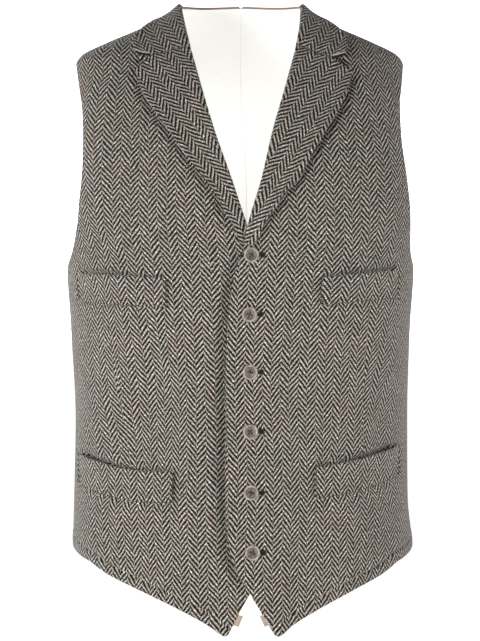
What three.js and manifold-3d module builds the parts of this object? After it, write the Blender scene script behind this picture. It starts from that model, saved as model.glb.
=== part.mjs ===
// A six-button suit waistcoat in herringbone tweed with a plain satin back,
// filled out as if worn. Millimetres, +Z up, the wearer faces -Y and their
// left is +X. The origin is midway between the shoulder seams.
import * as THREE from 'three';
import Module from 'manifold-3d';

// Cloth
const TWEED = 2.0; // front wall, cloth with its canvas and lining
const SATIN = 1.5; // back wall
const LINING = 1.0; // lining of the back
const SEAM_GAP = 0.3; // between pieces sewn edge to edge
const LAY_GAP = 0.75; // between a panel and what lies on it
const ON_PANEL = 1.8; // wall of a lapel, collar or welt

// Body that the cloth hangs round, one row for each level section:
// half width, reach forward, reach back and how far the middle leans to the left
const SECTIONS = [
  { height: 60, half: 34, front: 4, back: 52, lean: 0 },
  { height: 31, half: 62.5, front: 18, back: 63, lean: 0.5 },
  { height: 17, half: 80, front: 32, back: 72, lean: 0.5 },
  { height: 5, half: 107, front: 41, back: 80, lean: 0 },
  { height: -9, half: 139.5, front: 51, back: 88, lean: -0.5 },
  { height: -22, half: 164.5, front: 59, back: 94, lean: -1 },
  { height: -30, half: 170, front: 64, back: 98, lean: -1 },
  { height: -40, half: 171.5, front: 70, back: 101, lean: -0.5 },
  { height: -62, half: 173, front: 82, back: 107, lean: 0 },
  { height: -113, half: 175, front: 102, back: 115, lean: 2 },
  { height: -155, half: 178.5, front: 111, back: 118, lean: 4 },
  { height: -185, half: 180.5, front: 116, back: 118, lean: 4 },
  { height: -247, half: 180, front: 121, back: 115, lean: 0 },
  { height: -300, half: 176.5, front: 122, back: 109, lean: 0 },
  { height: -400, half: 172.5, front: 119, back: 101, lean: 1 },
  { height: -480, half: 173.5, front: 121, back: 104, lean: 0.5 },
  { height: -540, half: 177, front: 124, back: 110, lean: 2.5 },
  { height: -640, half: 178, front: 127, back: 114, lean: 2.5 },
];
const ROUNDNESS = 2.3; // exponent of a section's outline, 2 is an ellipse

// Armhole edge, from the shoulder tip down to the underarm:
// how far it lies forward of the side seam and behind it
const ARMHOLE = [
  { height: -29, front: 0, back: 0 },
  { height: -37, front: 14, back: 13 },
  { height: -62, front: 30, back: 31 },
  { height: -100, front: 41, back: 46 },
  { height: -150, front: 46, back: 54 },
  { height: -200, front: 45, back: 50 },
  { height: -228, front: 38, back: 37 },
  { height: -241, front: 20, back: 17 },
  { height: -246, front: 0, back: 0 },
];

// V neck, front edge and cut-away of each front, from the neck point down
const FRONT_EDGE = [
  { height: 31, right: -62.5, left: 63.5 },
  { height: 4, right: -57, left: 61 },
  { height: -52, right: -42.2, left: 48 },
  { height: -105, right: -26.7, left: 33 },
  { height: -156, right: -8.9, left: 21.2 },
  { height: -202, right: 6.5, left: 7.7 },
  { height: -224, right: 16, left: 3.2 },
  { height: -254, right: 26, left: -6.3 },
  { height: -305, right: 32, left: -12.7 },
  { height: -400, right: 33, left: -15 },
  { height: -500, right: 33, left: -14 },
  { height: -543, right: 27, left: -6.5 },
  { height: -571, right: 9.5, left: 9.5 },
  { height: -618, right: -15.5, left: 37.5 },
];
const NECK_POINT = 31; // height of its inner end
const UNDERARM = -246;
const BREAK_POINT = -224; // height at which the front edge leaves the V
const SIDE_HEM = -529; // height of the hem at the side seam
const HEM = [ // height of the hem by its share of the way from the side to the point
  { share: 0, height: -529 },
  { share: 0.19, height: -532.5 },
  { share: 0.34, height: -542 },
  { share: 0.48, height: -554 },
  { share: 0.63, height: -566 },
  { share: 0.75, height: -577.5 },
  { share: 0.85, height: -589 },
  { share: 0.965, height: -607 },
  { share: 1, height: -618 },
];
const POINT_RADIUS = 7; // rounding at the front points

// The left front laps over the right: it is lifted on this side of the edge
const LAP_LIFT = TWEED + LAY_GAP;
const LAP_FROM = 54; // lift starts here
const LAP_FULL = 38; // and is whole from here
const LAP_TOP = -150; // height at which the lift starts
const LAP_WHOLE = -192;

// Back
const BACK_NECK = 36; // height of the neck edge at the centre back
const BACK_HEM = -628; // height of the hem at the centre back
const BACK_HEM_LINE = [ // and by its share of the way from the side to the centre
  { share: 0, height: -529 },
  { share: 0.15, height: -531 },
  { share: 0.35, height: -545 },
  { share: 0.55, height: -566 },
  { share: 0.75, height: -595 },
  { share: 0.88, height: -616 },
  { share: 1, height: -628 },
];
const VENT_TOP = -595; // height of the vent's point
const VENT_HALF = 14; // half width of the vent at the hem
const CENTRE_DRIFT = 9.5; // how far the centre seam runs to the left on its way down
const LINING_SHORT = 12; // the lining ends this far above the back's hem
const LINING_INSET = 2; // and this far inside its other edges

// Lapel's outer edge, from its point down to where it meets the front edge
const LAPEL_EDGE = [
  { height: -44, right: -107, left: 113 },
  { height: -72, right: -95.5, left: 105 },
  { height: -105, right: -72.8, left: 86.3 },
  { height: -135, right: -52, left: 69 },
  { height: -157, right: -34.5, left: 58 },
  { height: -171, right: -25, left: 44 },
  { height: -188, right: -16.5, left: 34 },
  { height: -201, right: -8, left: 24 },
  { height: -213, right: -3.5, left: 19.5 },
  { height: -223, right: 0.5, left: 14 },
];
const GORGE_ROLL = -16; // height at the roll edge of the seam between lapel and collar
const GORGE_SHARE = 0.6; // share of the way out at which that seam opens into the notch
// Notch: its inner end, the heights of both edges there, and the collar's front corner
const NOTCH = {
  right: { across: -87.5, collar: -26.6, lapel: -27.4, cornerAcross: -108, corner: -24 },
  left: { across: 90, collar: -29.4, lapel: -30.2, cornerAcross: 107, corner: -26.5 },
};
const LAPEL_END = -221; // height of the lapel's lower end at the roll edge
const LAP_CLEAR = 1.2; // between the right lapel and the left front's edge

// Collar end, from the shoulder seam down to its front corner
const COLLAR_EDGE = [
  { height: 17, across: 83 },
  { height: 9, across: 92 },
  { height: 0, across: 101 },
  { height: -12, across: 109 },
];

// Pocket welts, across is measured from the middle
const WELTS = [
  {
    name: 'chest_welt_right', side: -1,
    inner: 73.7, outer: 164, innerTop: -255, outerTop: -249, sag: 0, deep: 30,
  },
  {
    name: 'chest_welt_left', side: 1,
    inner: 81.2, outer: 159, innerTop: -254, outerTop: -246, sag: 0, deep: 28,
  },
  {
    name: 'hip_welt_right', side: -1,
    inner: 67.3, outer: 164, innerTop: -448.5, outerTop: -433, sag: 6, deep: 32,
  },
  {
    name: 'hip_welt_left', side: 1,
    inner: 74.7, outer: 160, innerTop: -444.6, outerTop: -424.4, sag: 3, deep: 32,
  },
];

// Buttons
const BUTTON_HEIGHTS = [-232, -291.5, -349, -409, -470, -530];
const BUTTON_ACROSS = [10.9, 9, 9.6, 10, 10.5, 12];
const BUTTON_RADIUS = 7.6;
const BUTTON_THICK = 3.0;
const BUTTON_RIM = 1.9; // width of the raised rim
const BUTTON_DISH = 0.8; // depth of the hollow face
const BUTTON_CHAMFER = 1.1; // round its back edge
const BUTTON_HOLE = 0.85; // radius of each of the four holes
const BUTTON_HOLE_OUT = 1.55; // hole centre from the middle, both ways
const BUTTON_SIDES = 18;

// Grids: columns from the outer edge to the inner one, rows from top to hem
const FRONT_GRID = { columns: 14, rows: 28 };
const BACK_GRID = { columns: 12, rows: 22 };
const LAPEL_GRID = { columns: 5, rows: 11 };
const COLLAR_GRID = { columns: 5, rows: 6 };
const WELT_GRID = { columns: 8, rows: 2 };
const ROW_CROWDING = 1.3; // rows crowd towards the shoulder
const UNDERARM_ROW = 0.5 ** ROW_CROWDING; // the middle row meets the underarm
const BACK_NECK_ROW = (6 / BACK_GRID.rows) ** ROW_CROWDING; // the sixth meets the centre back

const tweed = () => new THREE.MeshStandardMaterial({ color: 0x7d776d, roughness: 0.95, metalness: 0 });
const satin = () => new THREE.MeshStandardMaterial({ color: 0xb29a87, roughness: 0.5, metalness: 0 });
const cream = () => new THREE.MeshStandardMaterial({ color: 0xf2f0e9, roughness: 0.6, metalness: 0 });
const horn = () => new THREE.MeshStandardMaterial({ color: 0x8c8272, roughness: 0.35, metalness: 0 });

// Numbers
const mix = (a, b, t) => a + (b - a) * t;
const clamp01 = (t) => Math.min(1, Math.max(0, t));
const ease = (t) => clamp01(t) ** 2 * (3 - 2 * clamp01(t));
const signedPower = (value, power) => Math.sign(value) * Math.abs(value) ** power;

// A smooth curve through a table's column that never overshoots its rows
function column(table, name, key = 'height') {
  const rows = [...table].sort((a, b) => a[key] - b[key]);
  const at = rows.map((row) => row[key]);
  const value = rows.map((row) => row[name]);
  const slope = at.slice(1).map((x, i) => (value[i + 1] - value[i]) / (x - at[i]));
  const tangent = value.map((_, i) => {
    if (i === 0) return slope[0];
    if (i === slope.length) return slope[i - 1];
    const [before, after] = [slope[i - 1], slope[i]];
    return before * after <= 0 ? 0 : (2 * before * after) / (before + after);
  });
  return (where) => {
    const x = Math.min(at.at(-1), Math.max(at[0], where));
    let i = 0;
    while (i < at.length - 2 && x > at[i + 1]) i += 1;
    const step = at[i + 1] - at[i];
    const t = (x - at[i]) / step;
    const rise = value[i + 1] - value[i];
    const bend = step * (tangent[i] * (1 - t) - tangent[i + 1] * t) - rise * (1 - 2 * t);
    return value[i] + rise * t + t * (1 - t) * bend;
  };
}

const halfWidth = column(SECTIONS, 'half');
const leanAt = column(SECTIONS, 'lean');
const reach = { front: column(SECTIONS, 'front'), back: column(SECTIONS, 'back') };

// A spot on the body: side is +1 or -1, face is 'front' or 'back', and angle
// runs from 0 at the middle of that face to 90 degrees at the side seam
function spotPoint({ side, face, angle, height }, out = 0) {
  const power = 2 / ROUNDNESS;
  const across = side * halfWidth(height) * signedPower(Math.sin(angle), power);
  const deep = reach[face](height) * signedPower(Math.cos(angle), power);
  const point = new THREE.Vector3(across, face === 'front' ? -deep : deep, height);
  const normal = bodyNormal(point, face);
  point.x += leanAt(height);
  return point.addScaledVector(normal, out);
}

// Outward direction at a point of the body, from how its section changes
function bodyNormal(point, face) {
  const step = 0.5;
  const half = halfWidth(point.z);
  const deep = reach[face](point.z);
  const halfSlope = (halfWidth(point.z + step) - halfWidth(point.z - step)) / (2 * step);
  const deepSlope = (reach[face](point.z + step) - reach[face](point.z - step)) / (2 * step);
  const x = Math.abs(point.x / half);
  const y = Math.abs(point.y / deep);
  return new THREE.Vector3(
    (Math.sign(point.x) * x ** (ROUNDNESS - 1)) / half,
    (Math.sign(point.y) * y ** (ROUNDNESS - 1)) / deep,
    -(x ** ROUNDNESS * halfSlope) / half - (y ** ROUNDNESS * deepSlope) / deep,
  ).normalize();
}

// Angle of the spot that lies at a distance across, or at a depth
function angleAcross(across, height) {
  const share = THREE.MathUtils.clamp((across - leanAt(height)) / halfWidth(height), -1, 1);
  return Math.asin(signedPower(share, ROUNDNESS / 2));
}
function angleDeep(deep, height, face) {
  return Math.acos(clamp01(deep / reach[face](height)) ** (ROUNDNESS / 2));
}

// Point of one front at a distance across and a height, moved out from the face
function frontPoint(side, across, height, out) {
  const angle = angleAcross(across, height);
  return spotPoint({ side: 1, face: 'front', angle, height }, out + lapLift(side, across, height));
}

// How far the left front, and what lies on it, stands off where it laps over the right one
function lapLift(side, across, height) {
  if (side < 0) return 0;
  const sideways = ease((LAP_FROM - across) / (LAP_FROM - LAP_FULL));
  return LAP_LIFT * sideways * ease((LAP_TOP - height) / (LAP_TOP - LAP_WHOLE));
}

// Curve through a table's rows with the given two columns as x and y
function edgeCurve(table, name) {
  const points = table.map((row) => new THREE.Vector3(row[name], row.height, 0));
  return new THREE.CatmullRomCurve3(points, false, 'centripetal');
}

// Armhole and side seam as height and angle, for v from 0 at the shoulder to 1 at the hem
function outerEdge(face, inset = 0, hem = SIDE_HEM) {
  const armhole = edgeCurve(ARMHOLE, face);
  return (v) => {
    if (v > UNDERARM_ROW) {
      const t = (v - UNDERARM_ROW) / (1 - UNDERARM_ROW);
      return { height: mix(UNDERARM - inset, hem, t), deep: SEAM_GAP / 2 };
    }
    const at = armhole.getPointAt(v / UNDERARM_ROW);
    const low = mix(1, (UNDERARM - inset) / UNDERARM, v / UNDERARM_ROW);
    return { height: at.y * low, deep: Math.max(at.x + inset * Math.min(1, at.x / 10), SEAM_GAP / 2) };
  };
}

// Neck and front edge of one front as height and distance across
function frontInnerEdge(sideName) {
  const upper = edgeCurve(FRONT_EDGE.filter((row) => row.height >= BREAK_POINT), sideName);
  const lower = edgeCurve(FRONT_EDGE.filter((row) => row.height <= BREAK_POINT), sideName);
  return (v) => {
    const at = v < UNDERARM_ROW
      ? upper.getPointAt(v / UNDERARM_ROW)
      : lower.getPointAt((v - UNDERARM_ROW) / (1 - UNDERARM_ROW));
    return { height: at.y, across: at.x };
  };
}

// Turns a square corner of a grid into an arc. p and q are the distances
// from the two edges that meet there.
function roundedCorner(p, q, radius) {
  if (p >= radius || q >= radius) return [p, q];
  const across = radius - p;
  const along = radius - q;
  const shrink = Math.max(across, along) / Math.hypot(across, along);
  return [radius - across * shrink, radius - along * shrink];
}

// Closed wall between two sheets of points: at(s, v, out) gives a point of
// the grid, with s and v from 0 to 1, on the outer sheet and on the inner one
function wall({ columns, rows }, at, outer, inner, crowding = 1) {
  const positions = [];
  const index = (layer, i, j) => (layer * (rows + 1) + j) * (columns + 1) + i;
  for (const out of [outer, inner]) {
    for (let j = 0; j <= rows; j += 1) {
      for (let i = 0; i <= columns; i += 1) {
        positions.push(...at(i / columns, (j / rows) ** crowding, out).toArray());
      }
    }
  }
  const faces = [];
  const quad = (a, b, c, d) => faces.push(a, b, c, a, c, d);
  for (let j = 0; j < rows; j += 1) {
    for (let i = 0; i < columns; i += 1) {
      quad(index(0, i, j), index(0, i, j + 1), index(0, i + 1, j + 1), index(0, i + 1, j));
      quad(index(1, i, j), index(1, i + 1, j), index(1, i + 1, j + 1), index(1, i, j + 1));
    }
  }
  for (let i = 0; i < columns; i += 1) {
    quad(index(0, i, 0), index(0, i + 1, 0), index(1, i + 1, 0), index(1, i, 0));
    quad(index(0, i + 1, rows), index(0, i, rows), index(1, i, rows), index(1, i + 1, rows));
  }
  for (let j = 0; j < rows; j += 1) {
    quad(index(0, 0, j + 1), index(0, 0, j), index(1, 0, j), index(1, 0, j + 1));
    quad(index(0, columns, j), index(0, columns, j + 1), index(1, columns, j + 1), index(1, columns, j));
  }
  return closedGeometry(positions, faces);
}

// Geometry whose faces point out, whichever way round the grid ran
function closedGeometry(positions, faces) {
  const corner = (i) => new THREE.Vector3().fromArray(positions, 3 * i);
  let volume = 0;
  for (let i = 0; i < faces.length; i += 3) {
    volume += corner(faces[i]).dot(corner(faces[i + 1]).cross(corner(faces[i + 2])));
  }
  const geometry = new THREE.BufferGeometry();
  geometry.setAttribute('position', new THREE.Float32BufferAttribute(positions, 3));
  geometry.setIndex(volume > 0 ? faces : faces.reverse());
  geometry.computeVertexNormals();
  return geometry;
}

// How far a hem leaves the straight line between its ends. The rows above follow it.
function hemBow(line) {
  const height = column(line, 'height', 'share');
  return (s, v) => (height(s) - mix(height(0), height(1), s)) * v ** 3;
}

// One front: rows run from the armhole or side seam to the neck or front edge
function front(side) {
  const outer = outerEdge('front');
  const inner = frontInnerEdge(side < 0 ? 'right' : 'left');
  const bow = hemBow(HEM);
  const at = (s, v, out) => {
    const [row, share] = nearPoint(s, v);
    const start = outer(row);
    const end = inner(row);
    const height = mix(start.height, end.height, share) + bow(share, row);
    const startAngle = side * angleDeep(start.deep, start.height, 'front');
    const endAngle = Math.sign(end.across) * Math.min(
      Math.abs(angleAcross(end.across, end.height)),
      angleDeep(SEAM_GAP / 2, end.height, 'front'),
    );
    const angle = mix(startAngle, endAngle, share);
    const spot = { side: 1, face: 'front', angle, height };
    return spotPoint(spot, out + lapLift(side, spotPoint(spot).x, height));
  };
  return wall(FRONT_GRID, at, 0, -TWEED, ROW_CROWDING);
}

// Rounds the point of a front's grid, in shares of a row and a column
function nearPoint(s, v) {
  const rowLength = 235; // along the hem
  const edgeLength = 640; // down the front edge
  const [p, q] = roundedCorner((1 - s) * rowLength, (1 - v) * edgeLength, POINT_RADIUS);
  return [1 - q / edgeLength, 1 - p / rowLength];
}

// Neck edge, centre seam and vent of one back half, as height and distance across
function backInnerEdge(side, inset, hem) {
  const seamTop = BACK_NECK - inset;
  return (v) => {
    if (v < BACK_NECK_ROW) {
      const turn = (v / BACK_NECK_ROW) * (Math.PI / 2);
      const angle = Math.min(Math.PI / 2 - turn, angleDeep(SEAM_GAP / 2, NECK_POINT, 'back'));
      return { height: mix(NECK_POINT, BACK_NECK, v / BACK_NECK_ROW) - inset * Math.sin(turn), angle };
    }
    const height = mix(seamTop, hem, (v - BACK_NECK_ROW) / (1 - BACK_NECK_ROW));
    const open = clamp01((VENT_TOP - height) / (VENT_TOP - BACK_HEM));
    const drift = CENTRE_DRIFT * clamp01((BACK_NECK - height) / (BACK_NECK - BACK_HEM));
    const across = side * drift + Math.max(SEAM_GAP / 2, VENT_HALF * open);
    return { height, angle: angleAcross(across + leanAt(height), height) };
  };
}

// One half of the back or of its lining, on the same rows so that the two follow each other
function backHalf(side, outer, inner, inset, shorter) {
  const start = outerEdge('back', inset, SIDE_HEM + shorter);
  const end = backInnerEdge(side, inset, BACK_HEM + shorter);
  const bow = hemBow(BACK_HEM_LINE);
  const at = (s, v, out) => {
    const from = start(v);
    const to = end(v);
    const fromAngle = angleDeep(from.deep, from.height, 'back');
    const shoulderInset = inset * (1 - Math.min(1, v * 20));
    const height = mix(from.height, to.height, s) - shoulderInset + bow(s, v);
    return spotPoint({ side, face: 'back', angle: mix(fromAngle, to.angle, s), height }, out);
  };
  return wall(BACK_GRID, at, outer, inner, ROW_CROWDING);
}

// Roll edge of a lapel. The right one stops short of the left front.
function rollAcross(side) {
  const left = column(FRONT_EDGE, 'left');
  const right = column(FRONT_EDGE, 'right');
  return side > 0 ? left : (height) => Math.min(right(height), left(height) - LAP_CLEAR);
}

// How far a row that ends on the notch leaves the straight line between its ends
function notchBend(s, start, notch, end) {
  const bent = s < GORGE_SHARE
    ? mix(start, notch, s / GORGE_SHARE)
    : mix(notch, end, (s - GORGE_SHARE) / (1 - GORGE_SHARE));
  return bent - mix(start, end, s);
}

// Lapel: rows run from the roll edge out to the lapel's edge
function lapel(side) {
  const name = side < 0 ? 'right' : 'left';
  const roll = rollAcross(side);
  const edge = edgeCurve(LAPEL_EDGE, name);
  const notch = NOTCH[name];
  const at = (s, v, out) => {
    const fromHeight = mix(GORGE_ROLL - SEAM_GAP, LAPEL_END, v);
    const from = roll(fromHeight) + side * SEAM_GAP;
    const to = edge.getPointAt(v);
    const top = edge.getPointAt(0);
    const fade = (1 - v) ** 3;
    const bendAcross = notchBend(s, roll(GORGE_ROLL), notch.across, top.x) * fade;
    const bendHeight = notchBend(s, GORGE_ROLL, notch.lapel, top.y) * fade;
    const across = mix(from, to.x, s) + bendAcross;
    return frontPoint(side, across, mix(fromHeight, to.y, s) + bendHeight, out);
  };
  return wall(LAPEL_GRID, at, LAY_GAP + ON_PANEL, LAY_GAP);
}

// Collar end: rows run from the neck edge out to the collar's outer edge
function collar(side) {
  const name = side < 0 ? 'right' : 'left';
  const roll = column(FRONT_EDGE, name);
  const notch = NOTCH[name];
  const corner = { height: notch.corner, across: Math.abs(notch.cornerAcross) };
  const edge = edgeCurve([...COLLAR_EDGE, corner], 'across');
  const at = (s, v, out) => {
    const fromHeight = mix(NECK_POINT, GORGE_ROLL + SEAM_GAP, v);
    const to = edge.getPointAt(v);
    const bend = notchBend(s, GORGE_ROLL, notch.collar, notch.corner) * v ** 2;
    const height = mix(fromHeight, to.y, s) + bend;
    const angleFrom = Math.abs(angleAcross(roll(fromHeight), fromHeight));
    const angleTo = Math.abs(angleAcross(side * to.x, to.y));
    const seam = angleDeep(SEAM_GAP / 2, height, 'front');
    const angle = side * Math.min(mix(angleFrom, angleTo, s), seam);
    return spotPoint({ side: 1, face: 'front', angle, height }, out);
  };
  return wall(COLLAR_GRID, at, LAY_GAP + ON_PANEL, LAY_GAP);
}

// Pocket welt: a strip on the front, from its top edge down
function welt({ side, inner, outer, innerTop, outerTop, sag, deep }) {
  const at = (s, v, out) => {
    const across = side * mix(inner, outer, s);
    const top = mix(innerTop, outerTop, s) - sag * Math.sin(Math.PI * s);
    return frontPoint(side, across, top - deep * v, out);
  };
  return wall(WELT_GRID, at, LAY_GAP + ON_PANEL, LAY_GAP);
}

const wasm = await Module();
wasm.setup();

function toSolid(geometry) {
  const vertProperties = new Float32Array(geometry.attributes.position.array);
  const triVerts = new Uint32Array(geometry.index.array);
  return new wasm.Manifold(new wasm.Mesh({ numProp: 3, vertProperties, triVerts }));
}

function toGeometry(solid) {
  const mesh = solid.getMesh();
  return closedGeometry(Array.from(mesh.vertProperties), Array.from(mesh.triVerts));
}

// A solid of revolution round Z whose profile starts and ends on the axis
function turned(profile, sides) {
  const positions = [];
  const faces = [];
  const ring = (k, i) => 2 + k * sides + (i % sides);
  const rings = profile.slice(1, -1);
  positions.push(0, 0, profile[0][1], 0, 0, profile.at(-1)[1]);
  for (const [radius, height] of rings) {
    for (let i = 0; i < sides; i += 1) {
      const turn = (2 * Math.PI * i) / sides;
      positions.push(radius * Math.cos(turn), radius * Math.sin(turn), height);
    }
  }
  for (let i = 0; i < sides; i += 1) {
    faces.push(0, ring(0, i + 1), ring(0, i));
    faces.push(1, ring(rings.length - 1, i), ring(rings.length - 1, i + 1));
    for (let k = 0; k < rings.length - 1; k += 1) {
      faces.push(ring(k, i), ring(k, i + 1), ring(k + 1, i + 1));
      faces.push(ring(k, i), ring(k + 1, i + 1), ring(k + 1, i));
    }
  }
  return closedGeometry(positions, faces);
}

// Four-hole button, its back on z = 0 and its dished face up
function buttonGeometry() {
  const face = BUTTON_THICK - BUTTON_DISH;
  const profile = [
    [0, 0],
    [BUTTON_RADIUS - BUTTON_CHAMFER, 0],
    [BUTTON_RADIUS, BUTTON_CHAMFER],
    [BUTTON_RADIUS - BUTTON_RIM / 6, BUTTON_THICK - BUTTON_DISH / 2],
    [BUTTON_RADIUS - BUTTON_RIM / 2, BUTTON_THICK],
    [BUTTON_RADIUS - BUTTON_RIM, face + BUTTON_DISH / 4],
    [0, face],
  ];
  const past = BUTTON_THICK + 1;
  const holeProfile = [[0, -1], [BUTTON_HOLE, -1], [BUTTON_HOLE, past], [0, past]];
  let solid = toSolid(turned(profile, BUTTON_SIDES));
  for (const x of [-1, 1]) {
    for (const y of [-1, 1]) {
      const hole = turned(holeProfile, 6);
      hole.translate(x * BUTTON_HOLE_OUT, y * BUTTON_HOLE_OUT, 0);
      solid = solid.subtract(toSolid(hole));
    }
  }
  return toGeometry(solid);
}

const waistcoat = new THREE.Group();

function addPiece(name, geometry, material) {
  const mesh = new THREE.Mesh(geometry, material);
  mesh.name = name;
  waistcoat.add(mesh);
  return mesh;
}

function addButtons() {
  const geometry = buttonGeometry();
  BUTTON_HEIGHTS.forEach((height, i) => {
    const seat = frontPoint(1, BUTTON_ACROSS[i], height, LAY_GAP);
    const away = frontPoint(1, BUTTON_ACROSS[i], height, LAY_GAP + 1).sub(seat).normalize();
    const button = addPiece(`button_${i + 1}`, geometry.clone(), horn());
    button.position.copy(seat);
    button.quaternion.setFromUnitVectors(new THREE.Vector3(0, 0, 1), away);
  });
}

for (const [name, side] of [['right', -1], ['left', 1]]) {
  addPiece(`front_${name}`, front(side), tweed());
  addPiece(`lapel_${name}`, lapel(side), tweed());
  addPiece(`collar_${name}`, collar(side), tweed());
  for (const row of WELTS.filter((row) => row.side === side)) {
    addPiece(row.name, welt(row), tweed());
  }
  addPiece(`back_${name}`, backHalf(side, 0, -SATIN, 0, 0), satin());
  const liningOut = -SATIN - LAY_GAP;
  const lining = backHalf(side, liningOut, liningOut - LINING, LINING_INSET, LINING_SHORT);
  addPiece(`back_lining_${name}`, lining, cream());
}
addButtons();

export default waistcoat;
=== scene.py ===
# Looks for a six-button suit waistcoat in herringbone tweed with a satin back.
# Sizes are in millimetres, turned into metres when a mesh is made. +Z is up,
# the wearer faces -Y, and +X is their left. "Across" is a distance along X, and
# "outward" is the same distance away from the middle.
import math

import bmesh
import bpy
import numpy as np
from mathutils import Matrix, Vector


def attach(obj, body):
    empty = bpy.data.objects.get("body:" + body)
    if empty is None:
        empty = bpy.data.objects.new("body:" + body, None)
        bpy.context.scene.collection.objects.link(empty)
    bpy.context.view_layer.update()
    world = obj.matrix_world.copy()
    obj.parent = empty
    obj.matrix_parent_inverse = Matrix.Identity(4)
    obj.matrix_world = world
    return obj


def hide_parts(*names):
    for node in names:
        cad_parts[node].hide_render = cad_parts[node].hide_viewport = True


MM = 0.001
RIGHT, LEFT = -1, 1  # the wearer's sides, as the sign of a distance across
SIDE_NAME = {RIGHT: "right", LEFT: "left"}
FACING = {"front": -1, "back": 1}


def table(names, *rows):
    """A short table as named columns of numbers."""
    return {name: np.array(values, float) for name, values in zip(names.split(), zip(*rows))}


def row(names, *values):
    """One row of a table, by the names of its columns."""
    return dict(zip(names.split(), values))


# Cloth
TWEED = 2.0  # front wall, cloth with its canvas and lining
SATIN = 1.5  # back wall
LINING = 1.0  # lining of the back
SEAM_GAP = 0.3  # between pieces sewn edge to edge
LAY_GAP = 0.75  # between a panel and what lies on it
ON_PANEL = 1.8  # wall of a lapel, collar or welt

# Body that the cloth hangs round, a row for each level section
SECTIONS = table(
    "height half front back lean",
    (60, 34, 4, 52, 0),
    (31, 62.5, 18, 63, 0.5),
    (17, 80, 32, 72, 0.5),
    (5, 107, 41, 80, 0),
    (-9, 139.5, 51, 88, -0.5),
    (-22, 164.5, 59, 94, -1),
    (-30, 170, 64, 98, -1),
    (-40, 171.5, 70, 101, -0.5),
    (-62, 173, 82, 107, 0),
    (-113, 175, 102, 115, 2),
    (-155, 178.5, 111, 118, 4),
    (-185, 180.5, 116, 118, 4),
    (-247, 180, 121, 115, 0),
    (-300, 176.5, 122, 109, 0),
    (-400, 172.5, 119, 101, 1),
    (-480, 173.5, 121, 104, 0.5),
    (-540, 177, 124, 110, 2.5),
    (-640, 178, 127, 114, 2.5),
)
ROUNDNESS = 2.3  # exponent of a section's outline, 2 is an ellipse

# Armhole, how far its edge lies before and behind the side seam
ARMHOLE = table(
    "height front back",
    (-29, 0, 0),
    (-37, 14, 13),
    (-62, 30, 31),
    (-100, 41, 46),
    (-150, 46, 54),
    (-200, 45, 50),
    (-228, 38, 37),
    (-241, 20, 17),
    (-246, 0, 0),
)

# V neck, front edge and cut-away, from the neck point down
FRONT_EDGE = table(
    "height right left",
    (31, -62.5, 63.5),
    (4, -57, 61),
    (-52, -42.2, 48),
    (-105, -26.7, 33),
    (-156, -8.9, 21.2),
    (-202, 6.5, 7.7),
    (-224, 16, 3.2),
    (-254, 26, -6.3),
    (-305, 32, -12.7),
    (-400, 33, -15),
    (-500, 33, -14),
    (-543, 27, -6.5),
    (-571, 9.5, 9.5),
    (-618, -15.5, 37.5),
)
NECK_POINT = 31
UNDERARM = -246
BREAK_POINT = -224
SIDE_HEM = -529
HEM = table(
    "share height",
    (0, -529),
    (0.19, -532.5),
    (0.34, -542),
    (0.48, -554),
    (0.63, -566),
    (0.75, -577.5),
    (0.85, -589),
    (0.965, -607),
    (1, -618),
)
POINT_RADIUS = 7
SIDE_CORNER = (6.5, 0.1)  # how far the hem curves up at the side seam, and over what share
SIDE_DROP = (3.2, 0.22, 0.16)  # how far it curves down beside that, where, and how far round

# Where the left front laps over the right one: distances across and heights
LAP_LIFT = TWEED + LAY_GAP
LAP_FROM = 54
LAP_FULL = 38
LAP_TOP = -150
LAP_WHOLE = -192
LAP_CURL = (3.4, 14.0)  # how far the lapped edge stands off, and over what width
LAP_ROLL = (2.2, 5.0)  # how far it rolls back at the very edge, and over what width

# Back
BACK_NECK = 36
BACK_HEM = -628
BACK_HEM_LINE = table(
    "share height",
    (0, -529),
    (0.15, -531),
    (0.35, -545),
    (0.55, -566),
    (0.75, -595),
    (0.88, -616),
    (1, -628),
)
VENT_TOP = -595
VENT_HALF = 14
CENTRE_DRIFT = 9.5
CENTRE_GAP = 0.06
LINING_LAP = 0.5  # the lining halves overlap this far
LINING_SHORT = 12
LINING_INSET = 1.3
LINING_STEP = 0.05  # the left half stands off this far where they overlap
LINING_OUT = -SATIN - LAY_GAP
PANEL_KEYS = "look out thick inset short gap"
BACK_PANELS = {
    "back": row(PANEL_KEYS, "satin", 0, SATIN, 0, 0, CENTRE_GAP),
    "back_lining": row(
        PANEL_KEYS, "lining", LINING_OUT, LINING, LINING_INSET, LINING_SHORT, -LINING_LAP
    ),
}

# Lapel's outer edge, from its point down
LAPEL_EDGE = table(
    "height right left",
    (-44, -107, 113),
    (-72, -95.5, 105),
    (-105, -72.8, 86.3),
    (-135, -52, 69),
    (-157, -34.5, 58),
    (-171, -25, 44),
    (-188, -16.5, 34),
    (-201, -8, 24),
    (-213, -3.5, 19.5),
    (-223, 0.5, 14),
)
GORGE_ROLL = -16
GORGE_SHARE = 0.6
LAPEL_END = -221
LAP_CLEAR = 1.2
COLLAR_EDGE = table("height across", (17, 83), (9, 92), (0, 101), (-12, 109))
# The notch's inner end across, the heights of collar and lapel there, the collar's corner,
# how far the lapel's outer edge stands off, and where a column of its weave ends
LAPEL_KEYS = "notch collar lapel corner rise origin"
LAPELS = {
    RIGHT: row(LAPEL_KEYS, -87.5, -26.6, -27.4, (108, -24), 2.8, (63.6, -182.4)),
    LEFT: row(LAPEL_KEYS, 90, -29.4, -30.2, (107, -26.5), 5.2, (42.8, -182.6)),
}
LAPEL_TURN = 32.5  # how the weave is turned, in degrees
COLLAR_TURN = 30
NOTCH_HEIGHT = -32
# Notch tubes: where along the collar's lower edge they run, the radius of the pale one (painted
# highlight), how far down the dark one lies, and its radius (painted shade)
NOTCH_PAINTED_LIGHT = row("reach radius drop fold", (0.61, 0.97), 0.52, 1.5, 1.0)

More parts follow.
